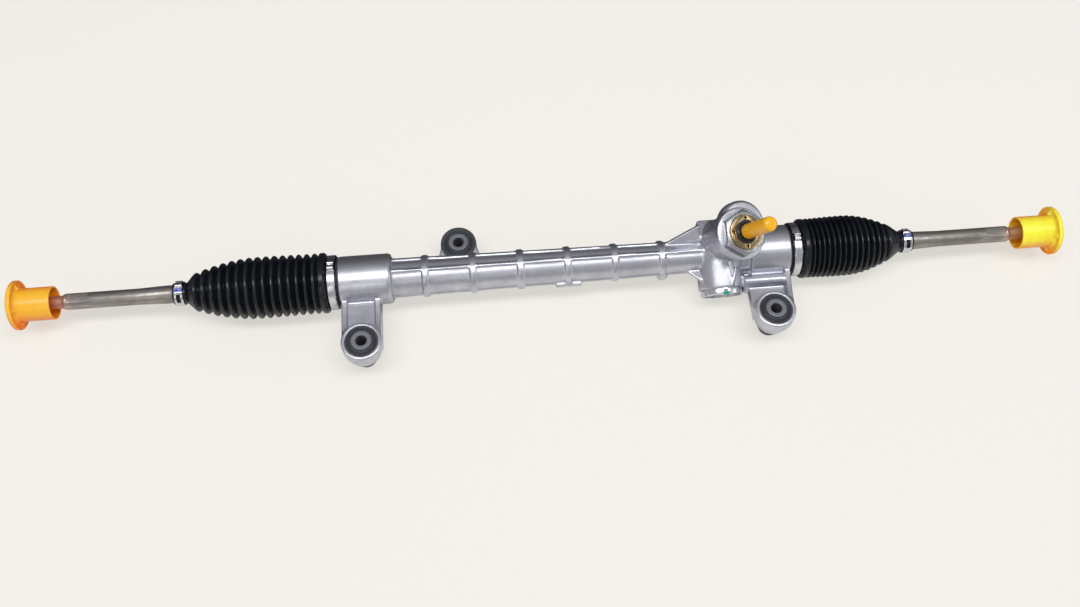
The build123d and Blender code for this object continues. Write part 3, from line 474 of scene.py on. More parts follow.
def metalFinish(name, base, smudge, light, rough, marks, scale, stretch=(1, 1, 1), bump=0.15,
                smudges=0.25, metallic=1.0):
    # plated or turned metal: colour and gloss both wander with drawn marks and smudges
    material, tree, shader, coords = newMaterial(name, metallic)
    drawn = useGroup(tree, drawnMarks, Vector=coords, Stretch=stretch, Scale=scale)
    touch = useGroup(tree, handled, Vector=coords, Scale=60.0)
    color = mixColor(tree, rangeNode(tree, drawn["Marks"], 0.35, 0.65), base, light)
    color = tint(tree, color, touch["Smudge"], smudges, smudge)
    color = tint(tree, color, drawn["Scratches"], marks, light)
    feed(tree, shader["Base Color"], color)
    gloss = rangeNode(tree, touch["Smudge"], 0.0, 1.0, rough - 0.06, rough + 0.1)
    brushed = rangeNode(tree, drawn["Marks"], 0.3, 0.7, -0.04, 0.04)
    feed(tree, shader["Roughness"], mathNode(tree, "ADD", gloss, brushed))
    addBump(tree, shader, drawn["Marks"], bump, 0.00012)
    return material


rubberLook = {
    "bushing_rubber": {"dark": (0.026, 0.028, 0.037), "light": (0.044, 0.046, 0.058), "rough": 0.55},
    "boot_rubber": {"dark": (0.003, 0.0045, 0.007), "light": (0.007, 0.009, 0.013), "rough": 0.26,
                    "bump": 0.10, "dust": 0.06, "specular": 0.36},
    "seal_rubber": {"dark": (0.012, 0.012, 0.014), "light": (0.024, 0.024, 0.027), "rough": 0.34,
                    "dust": 0.1},
    "bearing_plastic": {"dark": (0.62, 0.57, 0.42), "light": (0.72, 0.67, 0.52), "rough": 0.42,
                        "dust": 0.0},
}
dustColor = (0.30, 0.30, 0.31)


def rubberFinish(name, dark, light, rough, bump=0.2, dust=0.3, specular=0.5):
    # blotchy rubber or nylon with smudges in its gloss and specks of dust
    material, tree, shader, coords = newMaterial(name)
    skin = useGroup(tree, castSkin, Vector=coords, Blotch_Scale=42.0, Grain_Scale=900.0, Pit_Scale=400.0)
    touch = useGroup(tree, handled, Vector=coords, Scale=50.0)
    color = mixColor(tree, skin["Blotch"], dark, light)
    feed(tree, shader["Base Color"], tint(tree, color, touch["Dust"], dust, dustColor))
    gloss = rangeNode(tree, touch["Smudge"], 0.0, 1.0, rough - 0.07, rough + 0.09)
    feed(tree, shader["Roughness"], gloss)
    feed(tree, shader["Specular IOR Level"], specular)
    addBump(tree, shader, skin["Height"], bump, 0.00015)
    return material


plasticLook = {
    # deep is painted shade, low down and where the surface turns away, and bright the painted lit colour higher
    # up; above is the height over the rack in metres
    "left_cap_plastic": {"deep": (1.0, 0.26, 0.015), "bright": (1.0, 0.54, 0.03)},
    "right_cap_plastic": {"deep": (1.0, 0.34, 0.015), "bright": (1.0, 0.96, 0.05)},
    "vinyl": {"deep": (0.80, 0.31, 0.005), "bright": (0.94, 0.47, 0.01), "above": 0.05, "rough": 0.20,
              "subsurface": 0.12},
}


def plasticFinish(name, deep, bright, above=0.0, rough=0.34, subsurface=0.25):
    # soft polyethylene with faint flow lines; its deeper colour low down and at the rims turned from view is
    # painted shade, its paler colour higher up painted light
    material, tree, shader, coords = newMaterial(name)
    for label, value in (("Weight", subsurface), ("Radius", (0.006, 0.003, 0.001)), ("Scale", 0.6)):
        feed(tree, shader["Subsurface " + label], value)
    skin = useGroup(tree, castSkin, Vector=coords, Blotch_Scale=55.0, Grain_Scale=700.0, Pit_Scale=500.0)
    flow = noiseNode(tree, coords, 60.0, 3, 0.6, stretch=(2.5, 0.6, 0.6))
    middle = float(rackLine[2]) + above
    # painted light: paler with height over the rack, as if lit from above
    rise = rangeNode(tree, axisNode(tree, coords, "Z"), middle - 0.03, middle + 0.02)
    share = mathNode(tree, "ADD", rise, rangeNode(tree, flow, 0.3, 0.7, -0.15, 0.15))
    # painted shade: deeper where the surface turns away from view
    layer = tree.nodes.new("ShaderNodeLayerWeight")
    turnedAway = rangeNode(tree, layer.outputs["Facing"], 0.25, 0.8, 0.0, 0.85)
    share = mathNode(tree, "SUBTRACT", share, turnedAway, clamp=True)
    color = mixColor(tree, share, deep, bright)
    feed(tree, shader["Base Color"], tint(tree, color, skin["Blotch"], 0.12, bright))
    feed(tree, shader["Roughness"], rangeNode(tree, flow, 0.3, 0.7, rough - 0.05, rough + 0.06))
    height = mathNode(tree, "ADD", skin["Grain"], mathNode(tree, "MULTIPLY", flow, 1.5))
    addBump(tree, shader, height, 0.08, 0.0002)
    return material


dabLook = {"color": (0.01, 0.36, 0.25), "place": (0.2055, -0.0350, 0.0470), "radius": 0.0036}   # metres


def makeDabbedZinc():
    # zinc plate with a dab of green marking paint round one point
    material = finishes["zinc_plate"].copy()
    material.name = "marked zinc"
    tree = material.node_tree
    shader = tree.nodes["Principled BSDF"].inputs
    coords = tree.nodes.new("ShaderNodeTexCoord").outputs["Object"]
    apart = tree.nodes.new("ShaderNodeVectorMath")
    apart.operation = "DISTANCE"
    feed(tree, apart.inputs[0], coords)
    feed(tree, apart.inputs[1], dabLook["place"])
    ragged = rangeNode(tree, noiseNode(tree, coords, 500.0, 3, 0.6), 0.3, 0.7, -0.0012, 0.0012)
    edge = mathNode(tree, "ADD", apart.outputs["Value"], ragged)
    share = rangeNode(tree, edge, dabLook["radius"], dabLook["radius"] - 0.0008)
    plain = shader["Base Color"].links[0].from_socket
    feed(tree, shader["Base Color"], mixColor(tree, share, plain, dabLook["color"]))
    feed(tree, shader["Metallic"], mathNode(tree, "SUBTRACT", 1.0, share))
    return material


paintLook = {"color": (0.02, 0.05, 0.42), "metal": (0.62, 0.63, 0.66), "rough": (0.25, 0.45)}


def makePaint():
    # a brushed inspection mark that thins out to the metal under it
    material, tree, shader, coords = newMaterial("blue paint")
    noise = noiseNode(tree, coords, 420.0, 3, 0.6, stretch=(0.5, 1.0, 1.0))
    share = rangeNode(tree, noise, 0.36, 0.50)
    feed(tree, shader["Base Color"], mixColor(tree, share, paintLook["metal"], paintLook["color"]))
    feed(tree, shader["Metallic"], mathNode(tree, "SUBTRACT", 1.0, share))
    feed(tree, shader["Roughness"], rangeNode(tree, share, 0.0, 1.0, *paintLook["rough"]))
    addBump(tree, shader, noise, 0.2, 0.0002)
    return material


# a finish for each material slot, and two more for single nuts
finishes = {"cast_aluminium": makeCastAluminium(), "forged_steel": makeForgedSteel()}
kinds = ((metalFinish, metalLook), (rubberFinish, rubberLook), (plasticFinish, plasticLook))
for makeFinish, looks in kinds:
    for slot, look in looks.items():
        finishes[slot] = makeFinish(slot.replace("_", " "), **look)
finishes["marked_zinc"] = makeDabbedZinc()
bluePaint = makePaint()

slotOfNode = {s["node"]: s["material_slot"] for s in frame["record"]["subparts"]}
bodyOfNode = {node: body for body, nodes in frame["record"]["behaviour"]["bodies"].items()
              for node in nodes}
for node, obj in frame["nodes"].items():
    obj.data.materials.clear()
    obj.data.materials.append(finishes[slotOfNode[node]])
print("finishes ready:", len(finishes))


def dress(obj, node):
    # the piece takes the node's material, rides where the node rides and stands for it
    obj.data.materials.clear()
    obj.data.materials.append(finishes[slotOfNode[node]])
    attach(obj, bodyOfNode[node])
    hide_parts(node)
    return obj


castingLook = {
    "voxel": 0.95, "quickVoxel": 1.5,       # mm
    "melt": 1.15,                           # mm over which corners melt together
    "move": 0.5, "machinedMove": 0.06,      # share of the way in one step; on the machined bores
    "boreBand": (17.0, 19.4),               # mm from a lug's axis
    "triangles": 194000,
    "evenRounds": 3, "evenAngle": 13,       # degrees between neighbouring normals
}


def sumNeighbours(values, edges, weight=1.0):
    # each point's neighbours added up, times the weights of the edges that lead to them
    a, b = edges.T
    size = len(values)
    return np.stack([np.bincount(a, weight * column[b], size) + np.bincount(b, weight * column[a], size)
                     for column in values.T], 1)


def smoothWithMask(co, edges, share, steps):
    # each point moves a share of the way to the mean of its neighbours, again and again
    count = np.maximum(np.bincount(edges.reshape(-1), minlength=len(co)), 1)[:, None]
    for step in range(steps):
        co = co + share[:, None] * (sumNeighbours(co, edges) / count - co)
    return co


def evenNormals(mesh, rounds, widest):
    # each normal is drawn towards its neighbours', the less the more they turn away from it
    normals = readRows(mesh.vertex_normals, "vector", 3).astype(float)
    edges = readRows(mesh.edges, "vertices", 2, np.int32)
    limit = math.cos(math.radians(widest))
    for step in range(rounds):
        likeness = np.sum(normals[edges[:, 0]] * normals[edges[:, 1]], 1)
        near = np.clip((likeness - limit) / (1 - limit), 0, 1)
        total = normals + sumNeighbours(normals, edges, near)
        normals = total / np.linalg.norm(total, axis=1, keepdims=True)
    mesh.normals_split_custom_set_from_vertices(normals.tolist())


def makeHousing():
    # the CAD solid as small voxels that melt together, least of all on the machined bores
    look = castingLook
    obj = copyOfNode("housing_casting", "rack_housing")
    voxel = look["voxel"]
    remesh = obj.modifiers.new("voxels", "REMESH")
    remesh.mode = "VOXEL"
    remesh.voxel_size = voxel * mm
    applyModifiers(obj)
    mesh = obj.data
    co = readRows(mesh.vertices, "co", 3).astype(float)
    edges = readRows(mesh.edges, "vertices", 2, np.int32)
    share = np.full(len(co), look["move"])
    low, high = (r * mm for r in look["boreBand"])
    for lug in lugs:
        centre = np.mean(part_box(lug + "_bushing_sleeve"), 0)
        away = np.hypot(co[:, 0] - centre[0], co[:, 1] - centre[1])
        share[(away > low) & (away < high)] = look["machinedMove"]
    steps = max(2, round(2 * (look["melt"] / voxel) ** 2))
    co = smoothWithMask(co, edges, share, steps)
    mesh.vertices.foreach_set("co", co.reshape(-1).astype(np.float32))
    mesh.update()
    triangles = 2 * len(mesh.polygons)
    if triangles > look["triangles"]:
        thin = obj.modifiers.new("fewer", "DECIMATE")
        thin.ratio = look["triangles"] / triangles
        applyModifiers(obj)
    obj.data.shade_smooth()
    evenNormals(obj.data, look["evenRounds"], look["evenAngle"])
    print("housing triangles before thinning:", triangles, "smoothing steps:", steps)
    dress(obj, "rack_housing")


makeHousing()


bushingLook = {
    # heights in mm over the bushing's low face, or under its top
    "stubRadius": 14.0, "rubberRadius": 18.6, "footTaper": (13.0, 15.0), "brimHeight": 2.2,
    "grooveDepth": 2.4, "grooveHalf": 1.7,
    "sleeveRadius": 11.75, "boltRadius": 6.15, "boreChamfer": 1.0,
}


def makeBushing(lug):
    look = bushingLook
    rubberLow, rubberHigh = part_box(lug + "_bushing_rubber")
    sleeveLow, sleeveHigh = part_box(lug + "_bushing_sleeve")
    place = (*np.mean((rubberLow, rubberHigh), 0)[:2], 0.0)
    low, high = rubberLow[2] / mm, rubberHigh[2] / mm
    brim = (rubberHigh[0] - rubberLow[0]) / 2 / mm
    inner, outer = look["sleeveRadius"] + fit, look["rubberRadius"]
    middle = (inner + outer) / 2
    taperLow, taperHigh = look["footTaper"]
    corners = [(low, inner), (low, look["stubRadius"], 1.2), (low + taperLow, outer - 1, 2),
               (low + taperHigh, outer)]
    if brim > outer + 1:
        under = high - look["brimHeight"]
        corners += [(under, outer, 0.2), (under, brim, 0.6), (high, brim, 1.6)]
    else:
        corners += [(high, outer, 1.0)]
    corners += [(high, middle + look["grooveHalf"], 0.9), (high - look["grooveDepth"], middle, 1.2),
                (high - 0.3, middle - look["grooveHalf"], 0.9), (high - 0.3, inner, 0.2)]
    upright = (0, 0, 1)
    dress(turned(lug + "_rubber", corners, place, upright, 0.4, 112), lug + "_bushing_rubber")
    low, high, chamfer = sleeveLow[2] / mm, sleeveHigh[2] / mm, look["boreChamfer"]
    outer, bore = look["sleeveRadius"], look["boltRadius"]
    corners = [(low, bore + 0.8), (low, outer - 3), (low + 3, outer), (high - 0.6, outer, 0.3),
               (high, outer - 0.5, 0.3), (high, bore + chamfer, 0.25), (high - chamfer, bore, 0.25),
               (low + 0.8, bore)]
    dress(turned(lug + "_sleeve", corners, place, upright, 0.3, 112), lug + "_bushing_sleeve")


for lug in lugs:
    makeBushing(lug)
print("bushings ready")


towerLook = {
    # heights in mm along the pinion's axis, from its place
    "shoulder": 75.0, "shaftTip": 122.0, "capRadius": 8.65, "capTopRadius": 8.5, "capEnd": 4.0,
    "capBore": 7.35, "capRound": 6.5,
    "sealTop": 70.9, "sealLow": 64.55, "sealRadius": 13.3, "sealBore": 8.55,
    # CAD pieces that are copied: a name, the width of the broken edges and a finish of their own
    "copies": {"pinion_lock_nut": ("lock_nut", 0.5, "dull_zinc"),
               "pinion_adjusting_screw": ("adjusting_screw", 0.25, None),
               "rack_guide_lock_nut": ("guide_lock_nut", 0.35, "marked_zinc"),
               "rack_guide_plug": ("guide_plug", 0.3, None)},
}


def makeTowerPieces():
    look = towerLook
    for node, (name, edge, finish) in look["copies"].items():
        piece = dress(edgedCopy(name, node, edge), node)
        if finish:
            piece.data.materials[0] = finishes[finish]
    low, top, lip = look["sealLow"], look["sealTop"], look["sealBore"]
    outer = look["sealRadius"]
    corners = [(low, outer), (top, outer, 0.5), (top, outer - 1.6, 0.4), (top - 1.4, outer - 2.3, 0.4),
               (top - 1.2, lip + 1.6, 0.5), (top + 0.1, lip + 0.3, 0.3), (top - 0.8, lip, 0.2),
               (top - 3, lip, 0.2), (low, lip + 1)]
    dress(turned("shaft_seal", corners, pinionPlace, pinionAxis, 0.3), "pinion_seal")
    low, top = look["shoulder"] + fit, look["shaftTip"] + fit
    end = top + look["capEnd"]
    corners = [(low, look["capBore"], 0.2), (low, look["capRadius"] + 0.15, 0.5),
               (low + 2.5, look["capRadius"], 0.8), (end, look["capTopRadius"], look["capRound"]),
               (end, 0.0, 0), (top, 0.0, 0), (top, look["capBore"], 0.5)]
    dress(turned("shaft_cap", corners, pinionPlace, pinionAxis, 0.3, sharp=60), "input_shaft_cap")


makeTowerPieces()
print("pinion end ready")


capLook = {
    # mm from the part's middle, radii and heights
    "open": 567.5, "barrel": 19.2, "wall": 2.4, "flangeStart": 607.5, "flange": 28.7, "flangeWall": 4.5,
    "dome": 5.5, "grip": 30.0, "gripBore": 7.05, "gripWall": 1.8,
    # small webs behind the flange, with angles in degrees
    "webs": 4, "webTurn": 45.0, "webHalf": 9.0, "webSlope": 1.6, "webRise": 3.2, "webHeight": 7.0,
    "segments": 160,
}
threadLook = {"start": 569.0, "end": 609.0, "crest": 7.02, "depth": 0.85, "pitch": 1.5, "segments": 48}
rodEdge = 0.5


def makeCap(side, sign):
    # a turned cap; the flange's inner face is drawn towards the mouth in a few small webs
    look = capLook
    mouth, barrel, grip, rim = look["open"], look["barrel"], look["gripBore"], look["flange"]
    inner, gripOuter = barrel - look["wall"], grip + look["gripWall"]
    flange = look["flangeStart"]
    wall = flange + look["flangeWall"]
    domeEnd, gripEnd = wall + look["dome"], wall - look["grip"]
    corners = [(mouth, inner, 0.9), (mouth, barrel, 0.9), (flange - 9, barrel, 0), (flange - 5, barrel, 0),
               (flange - 2, barrel, 1.2), (flange, barrel + 1.6, 1.2), (flange, barrel + 4, 0),
               (flange, rim - 2.6, 0.6), (flange - 0.6, rim - 1.6, 0.5), (flange - 0.6, rim, 0.8),
               (wall - 0.6, rim, 1.5), (wall + 0.8, rim - 3.2, 1.5), (domeEnd, barrel - 4, 4.0),
               (domeEnd, 0, 0), (wall, 0, 0), (wall, grip, 0.2), (gripEnd, grip, 0.3),
               (gripEnd, gripOuter, 0.5), (wall - 1, gripOuter, 1.0), (wall - 1, inner, 1.5)]
    line = softLine(corners, 0.4)
    points = spinPoints(line, rackLine, (sign, 0, 0), look["segments"])
    turn = np.degrees(roundAngles(look["segments"])[0])
    apart = 360 / look["webs"]
    away = np.abs((turn - look["webTurn"] + apart / 2) % apart - apart / 2) / look["webHalf"]
    bump = softStep((1 - away) * look["webSlope"])
    along, radius = line.T
    depth = softStep((rim - 2.0 - radius) / look["webHeight"])
    depth = depth * (radius > barrel + 0.2) * (np.abs(along - flange) < 1.5)
    points[..., 0] -= sign * mm * look["webRise"] * depth[:, None] * bump[None, :]
    dress(finishMesh(gridMesh(side + "_cap", points, True, True), 40), side + "_thread_cap")


def makeThread(side, sign):
    # radius = crest - depth * triangle wave of (along / pitch - angle / turn)
    look = threadLook
    rows = int((look["end"] - look["start"]) / look["pitch"] * 10)
    along = np.pad(np.linspace(look["start"], look["end"], rows), 1, "edge")[:, None]
    angle = roundAngles(look["segments"])
    wave = np.abs(((along / look["pitch"] - angle / (2 * np.pi)) % 1.0) * 2 - 1)
    ease = np.clip((along - look["start"]) / 3.0, 0, 1) * np.clip(look["end"] - along, 0, 1)
    radius = look["crest"] - look["depth"] * wave * ease
    radius[[0, -1]] = 0          # both ends close on the axis
    axis, ring = spinRing((sign, 0, 0), angle)
    points = rackLine + mm * (along[..., None] * axis + radius[..., None] * ring)
    obj = finishMesh(gridMesh(side + "_thread", points, False, True), 50)
    obj.data.materials.append(finishes["forged_steel"])
    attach(obj, side + "_rod")


for side, sign in sides:
    makeCap(side, sign)
    makeThread(side, sign)
    dress(edgedCopy(side + "_rod_forging", side + "_tie_rod", rodEdge), side + "_tie_rod")
print("tie rods ready")


bootLook = {
    # mm from the housing's end face, or from the part's middle where a note says so
    "folds": 15, "samples": 18, "segments": 112,
    "growth": {"left": 0.20, "right": 0.50},         # the last fold is this much wider
    "lip": 1.0, "collarEnd": 12.0, "bandStart": 15.0, "bandEnd": 20.5, "foldStart": 22.5,
    "foldEnd": 410.5, "swingStart": 370.0,           # both from the middle
    "crest": 36.0, "crestFall": 0.8, "fallFolds": (8, 6), "smallDrop": 13.5, "taperFolds": 7.0,
    "depth": {"left": 5.8, "right": 5.0}, "depthEnds": (0.7, 0.75), "crestPower": 1.25,
    "collarOuter": 30.05, "collarInner": 27.05, "bandRadius": 35.3, "wall": 1.4,
    "tailLength": 15.0, "tailOuter": 12.05, "tailInner": 10.55, "tailRing": 0.5,
    "slideSections": (0.07, 0.30, 0.5, 0.70, 0.93),  # shares of the way to the swing
    "rollGap": 0.04,                                 # between the last two sections
}


def nodeMiddle(node):
    low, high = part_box(node)
    return abs(low[0] + high[0]) / 2 / mm


def bootLine(side):
    # radius = crest - depth * (1 - |sin(pi * place)| ** power), where place counts the folds and
    # the crests shrink towards the rod; a cone leads from the last crest to the tail
    look = bootLook
    boxLow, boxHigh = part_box(side + "_boot")
    face = min(abs(boxLow[0]), abs(boxHigh[0])) / mm - look["lip"]
    n, growth = look["folds"], look["growth"][side]
    place = np.linspace(0, n - 0.5, round((n - 0.5) * look["samples"]) + 1)
    share = (place + growth * place ** 2 / (2 * n)) / (n + growth * n / 2)
    foldStart = face + look["foldStart"]
    x = foldStart + (look["foldEnd"] - foldStart) * share
    fromSmall = n - place - 0.5
    crest = look["crest"] - look["smallDrop"] * np.clip(1 - fromSmall / look["taperFolds"], 0, 1) ** 2
    fallStart, fallOver = look["fallFolds"]
    crest = crest - look["crestFall"] * softStep((fromSmall - fallStart) / fallOver)
    shape = np.abs(np.sin(np.pi * place)) ** look["crestPower"]
    first, last = look["depthEnds"]
    depth = look["depth"][side] * np.interp(place, [0, 1, n - 3, n], [first, 1, 1, last])
    radius = crest - depth * (1 - shape)
    tailStart = nodeMiddle(side + "_boot_small_clamp") - look["tailLength"] / 2
    tailEnd = tailStart + look["tailLength"]
    t = np.linspace(0, 1, 20)[1:]
    coneX = x[-1] + (tailStart - x[-1]) * t
    coneR = radius[-1] + (look["tailOuter"] - radius[-1]) * (0.35 * softStep(t) + 0.65 * t)
    lip, collarEnd, bandEnd = look["lip"], look["collarEnd"], look["bandEnd"]
    bandRise = look["bandRadius"] - look["collarOuter"]
    head = [(lip, -0.5), (lip + 0.5, 0.0), (collarEnd - 0.4, 0.0), (collarEnd, 0.3)]
    t = np.linspace(0, 1, 9)[1:]
    rise = np.stack([collarEnd + (look["bandStart"] + 1.5 - collarEnd) * t,
                     0.3 + (bandRise - 0.3) * np.sin(t * np.pi / 2)], 1)
    front = np.concatenate([head, rise, [(bandEnd - 1.0, bandRise), (bandEnd, bandRise - 0.4)]])
    allX = np.concatenate([face + front[:, 0], x, coneX,
                           [tailStart + 1, tailEnd - 2.6, tailEnd - 2.0, tailEnd - 0.4, tailEnd]])
    tail = look["tailOuter"] + look["tailRing"] * np.array([0, 0, 1, 1, 0])
    outer = np.concatenate([look["collarOuter"] + front[:, 1], radius, coneR, tail])
    inner = np.maximum(outer - look["wall"], look["tailInner"])
    inner = np.where(allX < face + collarEnd + 1, look["collarInner"], inner)
    inner = np.where(allX > tailStart - 2, look["tailInner"], inner)
    return allX, outer, inner, foldStart, tailStart


def nearest(values, wanted):
    return values[np.argmin(np.abs(values - wanted))]


def bootSection(name, side, sign, x, outer, inner, low, high):
    # the part of the boot's wall between two places, turned about the rack's axis
    pick = (x >= low - 1e-6) & (x <= high + 1e-6)
    line = np.concatenate([np.stack([x[pick], outer[pick]], 1),
                           np.stack([x[pick], inner[pick]], 1)[::-1]])
    points = spinPoints(line, rackLine, (sign, 0, 0), bootLook["segments"])
    obj = finishMesh(gridMesh(name, points, True, True), 60)
    obj.data.materials.append(finishes["boot_rubber"])
    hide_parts(side + "_boot")
    return obj


def makeBoot(side, sign):
    look = bootLook
    x, outer, inner, start, tailStart = bootLine(side)
    swing = nearest(x, look["swingStart"])
    cuts = [x[0]] + [nearest(x, start + s * (swing - start)) for s in look["slideSections"]] + [swing]
    for i, (low, high) in enumerate(zip(cuts[:-1], cuts[1:])):
        obj = bootSection(f"{side}_boot_{i + 1}", side, sign, x, outer, inner, low, high)
        low = max(low, start)
        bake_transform(obj)
    # the last section starts a hair beyond the one before
    rollStart = swing + look["rollGap"]
    x = np.where(x == swing, rollStart, x)
    obj = bootSection(f"{side}_boot_{len(cuts)}", side, sign, x, outer, inner, rollStart, x[-1])
    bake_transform(obj)


for side, sign in sides:
    makeBoot(side, sign)
print("boots ready")


clampLook = {
    # angles in degrees from straight up, positive towards the lower lugs' side
    "large": {"radius": 30.15, "width": 8.0, "earRise": 3.4, "lapColumns": 1},
    "small": {"radius": 12.1, "width": 9.0, "earRise": 1.7, "lapColumns": 2},   # for each degree
    "left_large": {"ear": -9.3, "earHalf": 11.0, "lap": (6.0, 40.0)},
    "right_large": {"ear": 1.0, "earHalf": 9.0, "lap": (11.5, 45.0)},
    "left_small": {"ear": -30.0, "earHalf": 25.0, "lap": (0.0, 92.0), "window": (32.0, 78.0),
                   "paint": (2.4, 20.0)},
    "right_small": {"ear": -32.0, "earHalf": 21.0, "lap": (-8.0, 80.0), "window": (21.5, 65.0),
                    "paint": (-8.5, 9.5)},
}
bandLook = {
    "wall": 0.8, "edge": 0.15, "earWaist": 0.22, "earSlope": 0.4,
    "dent": 0.45, "dentStart": 0.45, "dentSlope": 0.3,     # shares of the ear's rise and half
    # the band's section: shares of its width, and the crown's height over them in mm
    "across": (-0.5, -0.47, -0.26, 0.26, 0.47, 0.5), "crown": (-0.12, 0.0, 0.05, 0.05, 0.0, -0.12),
}


def bandRing(name, look, middle, sign, turn, raised, closed):
    # radius = band + lap + ear rise * (flat-topped bump - dent) of the angle; the window stays open
    away = np.abs((turn - look["ear"] + 180) % 360 - 180) / look["earHalf"]
    bump = softStep((1 - away) / bandLook["earSlope"])
    dent = softStep((bandLook["dentStart"] - away) / bandLook["dentSlope"])
    radius = look["radius"] + raised + look["earRise"] * (bump - bandLook["dent"] * dent)
    across = np.array(bandLook["across"]) * look["width"]
    angle = np.radians(turn)[None, :]
    along = middle + across[:, None] * (1 - bandLook["earWaist"] * bump)[None, :]
    radii = radius[None, :] + np.array(bandLook["crown"])[:, None] + bandLook["wall"]
    ring = np.stack([np.zeros_like(angle), -np.sin(angle), np.cos(angle)], -1)
    points = rackLine + mm * (along[..., None] * np.array([sign, 0, 0]) + radii[..., None] * ring)
    columns = len(turn) if closed else len(turn) - 1
    keep = np.ones((len(across) - 1, columns), bool)
    if "window" in look:
        first, last = look["window"]
        keep[len(keep) // 2, (turn[:columns] >= first) & (turn[:columns] < last)] = False
    obj = finishMesh(gridMesh(name, points, False, closed, keep), 50)
    face = obj.data.polygons[0]
    if np.array(face.normal) @ (np.array(face.center) - rackLine) < 0:
        obj.data.flip_normals()
    thick = obj.modifiers.new("wall", "SOLIDIFY")
    thick.thickness = bandLook["wall"] * mm
    thick.offset = -1
    addBevel(obj, bandLook["edge"])
    applyModifiers(obj)
    shadeByAngle(obj, 40)
    return obj


def paintBand(obj, angles):
    # faces between two angles take the second material, a brushed paint stroke
    obj.data.materials.append(bluePaint)
    centre = readRows(obj.data.polygons, "center", 3).astype(float) - rackLine
    turn = np.degrees(np.arctan2(-centre[:, 1], centre[:, 2]))
    painted = (turn > angles[0]) & (turn < angles[1])
    obj.data.polygons.foreach_set("material_index", painted.astype(np.int32))


def makeClamp(side, sign, size):
    # a closed band and the overlap on it, which lies one wall higher
    look = {**clampLook[size], **clampLook[f"{side}_{size}"]}
    node = f"{side}_boot_{size}_clamp"
    middle = nodeMiddle(node)
    turn = np.linspace(-180, 180, 361)[:-1]
    band = bandRing(f"{side}_{size}_clamp", look, middle, sign, turn, 0.0, True)
    dress(band, node)
    first, last = look["lap"]
    turn = np.linspace(first, last, int(last - first) * look["lapColumns"] + 1)
    lap = bandRing(f"{side}_{size}_clamp_lap", look, middle, sign, turn, bandLook["wall"], False)
    dress(lap, node)
    if "paint" in look:
        paintBand(band, look["paint"])
        paintBand(lap, look["paint"])


for side, sign in sides:
    for size in ("large", "small"):
        makeClamp(side, sign, size)
print("clamps ready")


stageLook = {
    "background": (0.905, 0.880, 0.823), "floorSize": 9.0, "shadowShare": 0.35,
    "worldColor": (0.95, 0.96, 1.0), "worldStrength": 0.30,
    "frontGloss": 0.45, "rearGloss": 0.05, "glossFade": (0.48, 0.95),   # of the world's y
    "rearFloor": (0.07, 0.07, 0.08), "floorFade": (-0.01, 0.04),        # metres along y
}
lampLook = {
    # metres and watts
    "key": {"place": (0.0, -0.38, 3.0), "target": (0.0, 0.02, 0.04), "size": (4.2, 0.7),
            "power": 76.0},
    "fill": {"place": (-1.2, -2.6, 2.0), "target": (0.0, 0.0, 0.04), "size": (2.4, 1.0),
             "power": 8.0, "color": (1.0, 0.98, 0.95)},
    "side": {"place": (2.8, -0.6, 1.2), "target": (0.1, 0.0, 0.04), "size": (0.7, 1.6),
             "power": 9.0, "color": (0.95, 0.97, 1.0)},
}
cameraLook = {
    "place": (-0.0729, -0.57015, 1.1604), "azimuth": -6.5, "elevation": 64.0, "roll": 1.6,
    "focalPixels": 1075.0, "imageWidth": 1080.0, "sensor": 36.0,
}


def plainShader(tree, kind, color):
    node = tree.nodes.new("ShaderNode" + kind)
    feed(tree, node.inputs["Color"], color)
    return node


def mixShaders(tree, share, a, b):
    mix = tree.nodes.new("ShaderNodeMixShader")
    for socket, value in zip(mix.inputs, (share, a, b)):
        feed(tree, socket, value)
    return mix.outputs[0]


def emptyTree(owner, kind):
    # a cleared node tree, its surface socket and the kinds of ray
    owner.use_nodes = True
    tree = owner.node_tree
    tree.nodes.clear()
    out = tree.nodes.new("ShaderNodeOutput" + kind)
    return tree, out.inputs["Surface"], tree.nodes.new("ShaderNodeLightPath").outputs


def makeFloor():
    # seen directly, mostly the plain background, with a share of real light and shadow; gloss sees it
    # darker behind the part, as the world is
    look = stageLook
    half = look["floorSize"] / 2
    ends = np.array([-half, half])
    floor = gridMesh("floor", np.stack([*np.meshgrid(ends, ends, indexing="ij"), np.zeros((2, 2))], -1))
    material = bpy.data.materials.new("pale floor")
    tree, surface, ray = emptyTree(material, "Material")
    y = axisNode(tree, tree.nodes.new("ShaderNodeTexCoord").outputs["Object"], "Y")
    pale = plainShader(tree, "BsdfDiffuse", look["background"]).outputs[0]
    dark = plainShader(tree, "BsdfDiffuse", look["rearFloor"]).outputs[0]
    flat = plainShader(tree, "Emission", look["background"]).outputs[0]
    rear = mathNode(tree, "MULTIPLY", rangeNode(tree, y, *look["floorFade"]), ray["Is Glossy Ray"])
    mirrored = mixShaders(tree, rear, pale, dark)
    seen = mixShaders(tree, 1 - look["shadowShare"], pale, flat)
    feed(tree, surface, mixShaders(tree, ray["Is Camera Ray"], mirrored, seen))
    floor.data.materials.append(material)


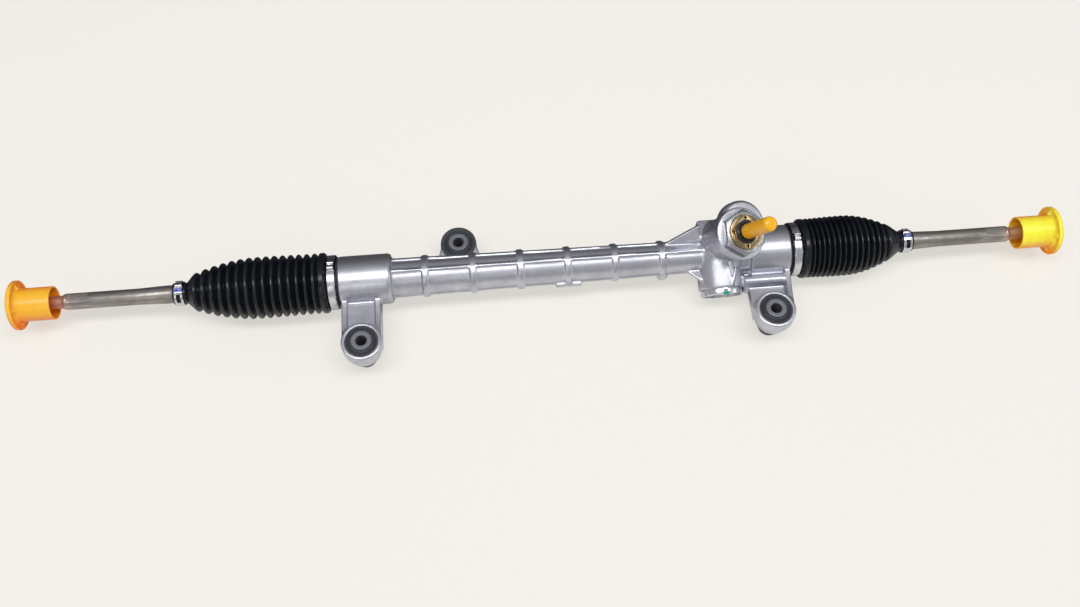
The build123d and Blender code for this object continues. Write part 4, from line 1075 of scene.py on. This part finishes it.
def makeWorld():
    # the camera sees the plain background; gloss sees a studio that is darker behind the part
    look = stageLook
    world = bpy.data.worlds.new("studio")
    bpy.context.scene.world = world
    tree, surface, ray = emptyTree(world, "World")
    y = axisNode(tree, tree.nodes.new("ShaderNodeTexCoord").outputs["Generated"], "Y")
    gloss = plainShader(tree, "Background", look["worldColor"])
    strength = rangeNode(tree, y, *look["glossFade"], look["frontGloss"], look["rearGloss"])
    feed(tree, gloss.inputs["Strength"], strength)
    soft = plainShader(tree, "Background", look["worldColor"])
    feed(tree, soft.inputs["Strength"], look["worldStrength"])
    flat = plainShader(tree, "Emission", look["background"]).outputs[0]
    lit = mixShaders(tree, ray["Is Glossy Ray"], soft.outputs[0], gloss.outputs[0])
    feed(tree, surface, mixShaders(tree, ray["Is Camera Ray"], lit, flat))


def placeObject(obj, right, up, back, place):
    matrix = np.eye(4)
    matrix[:3] = np.stack([right, up, back, place], 1)
    obj.matrix_world = Matrix(matrix.tolist())


def makeLamp(name, place, target, size, power, color=(1, 1, 1)):
    lamp = bpy.data.lights.new(name, "AREA")
    lamp.shape = "RECTANGLE"
    lamp.size, lamp.size_y = size
    lamp.energy = power
    lamp.color = color
    back = unit(np.array(place) - np.array(target))
    right = unit(np.cross((0, 1, 0), back))
    placeObject(addObject(name, lamp), right, np.cross(back, right), back, place)


def makeCamera():
    look = cameraLook
    a, e, r = (math.radians(look[k]) for k in ("azimuth", "elevation", "roll"))
    back = np.array([math.sin(a) * math.cos(e), -math.cos(a) * math.cos(e), math.sin(e)])
    level = np.array([math.cos(a), math.sin(a), 0.0])
    rise = np.cross(back, level)
    camera = bpy.data.cameras.new("camera")
    camera.sensor_width = look["sensor"]
    camera.lens = look["focalPixels"] / look["imageWidth"] * look["sensor"]
    camera.clip_start, camera.clip_end = 0.05, 50.0
    obj = addObject("camera", camera)
    right, up = math.cos(r) * level + math.sin(r) * rise, math.cos(r) * rise - math.sin(r) * level
    placeObject(obj, right, up, back, look["place"])
    bpy.context.scene.camera = obj


makeFloor()
makeWorld()
for name, look in lampLook.items():
    makeLamp(name, **look)
makeCamera()
bpy.context.scene.view_settings.view_transform = "Standard"
print("stage ready")
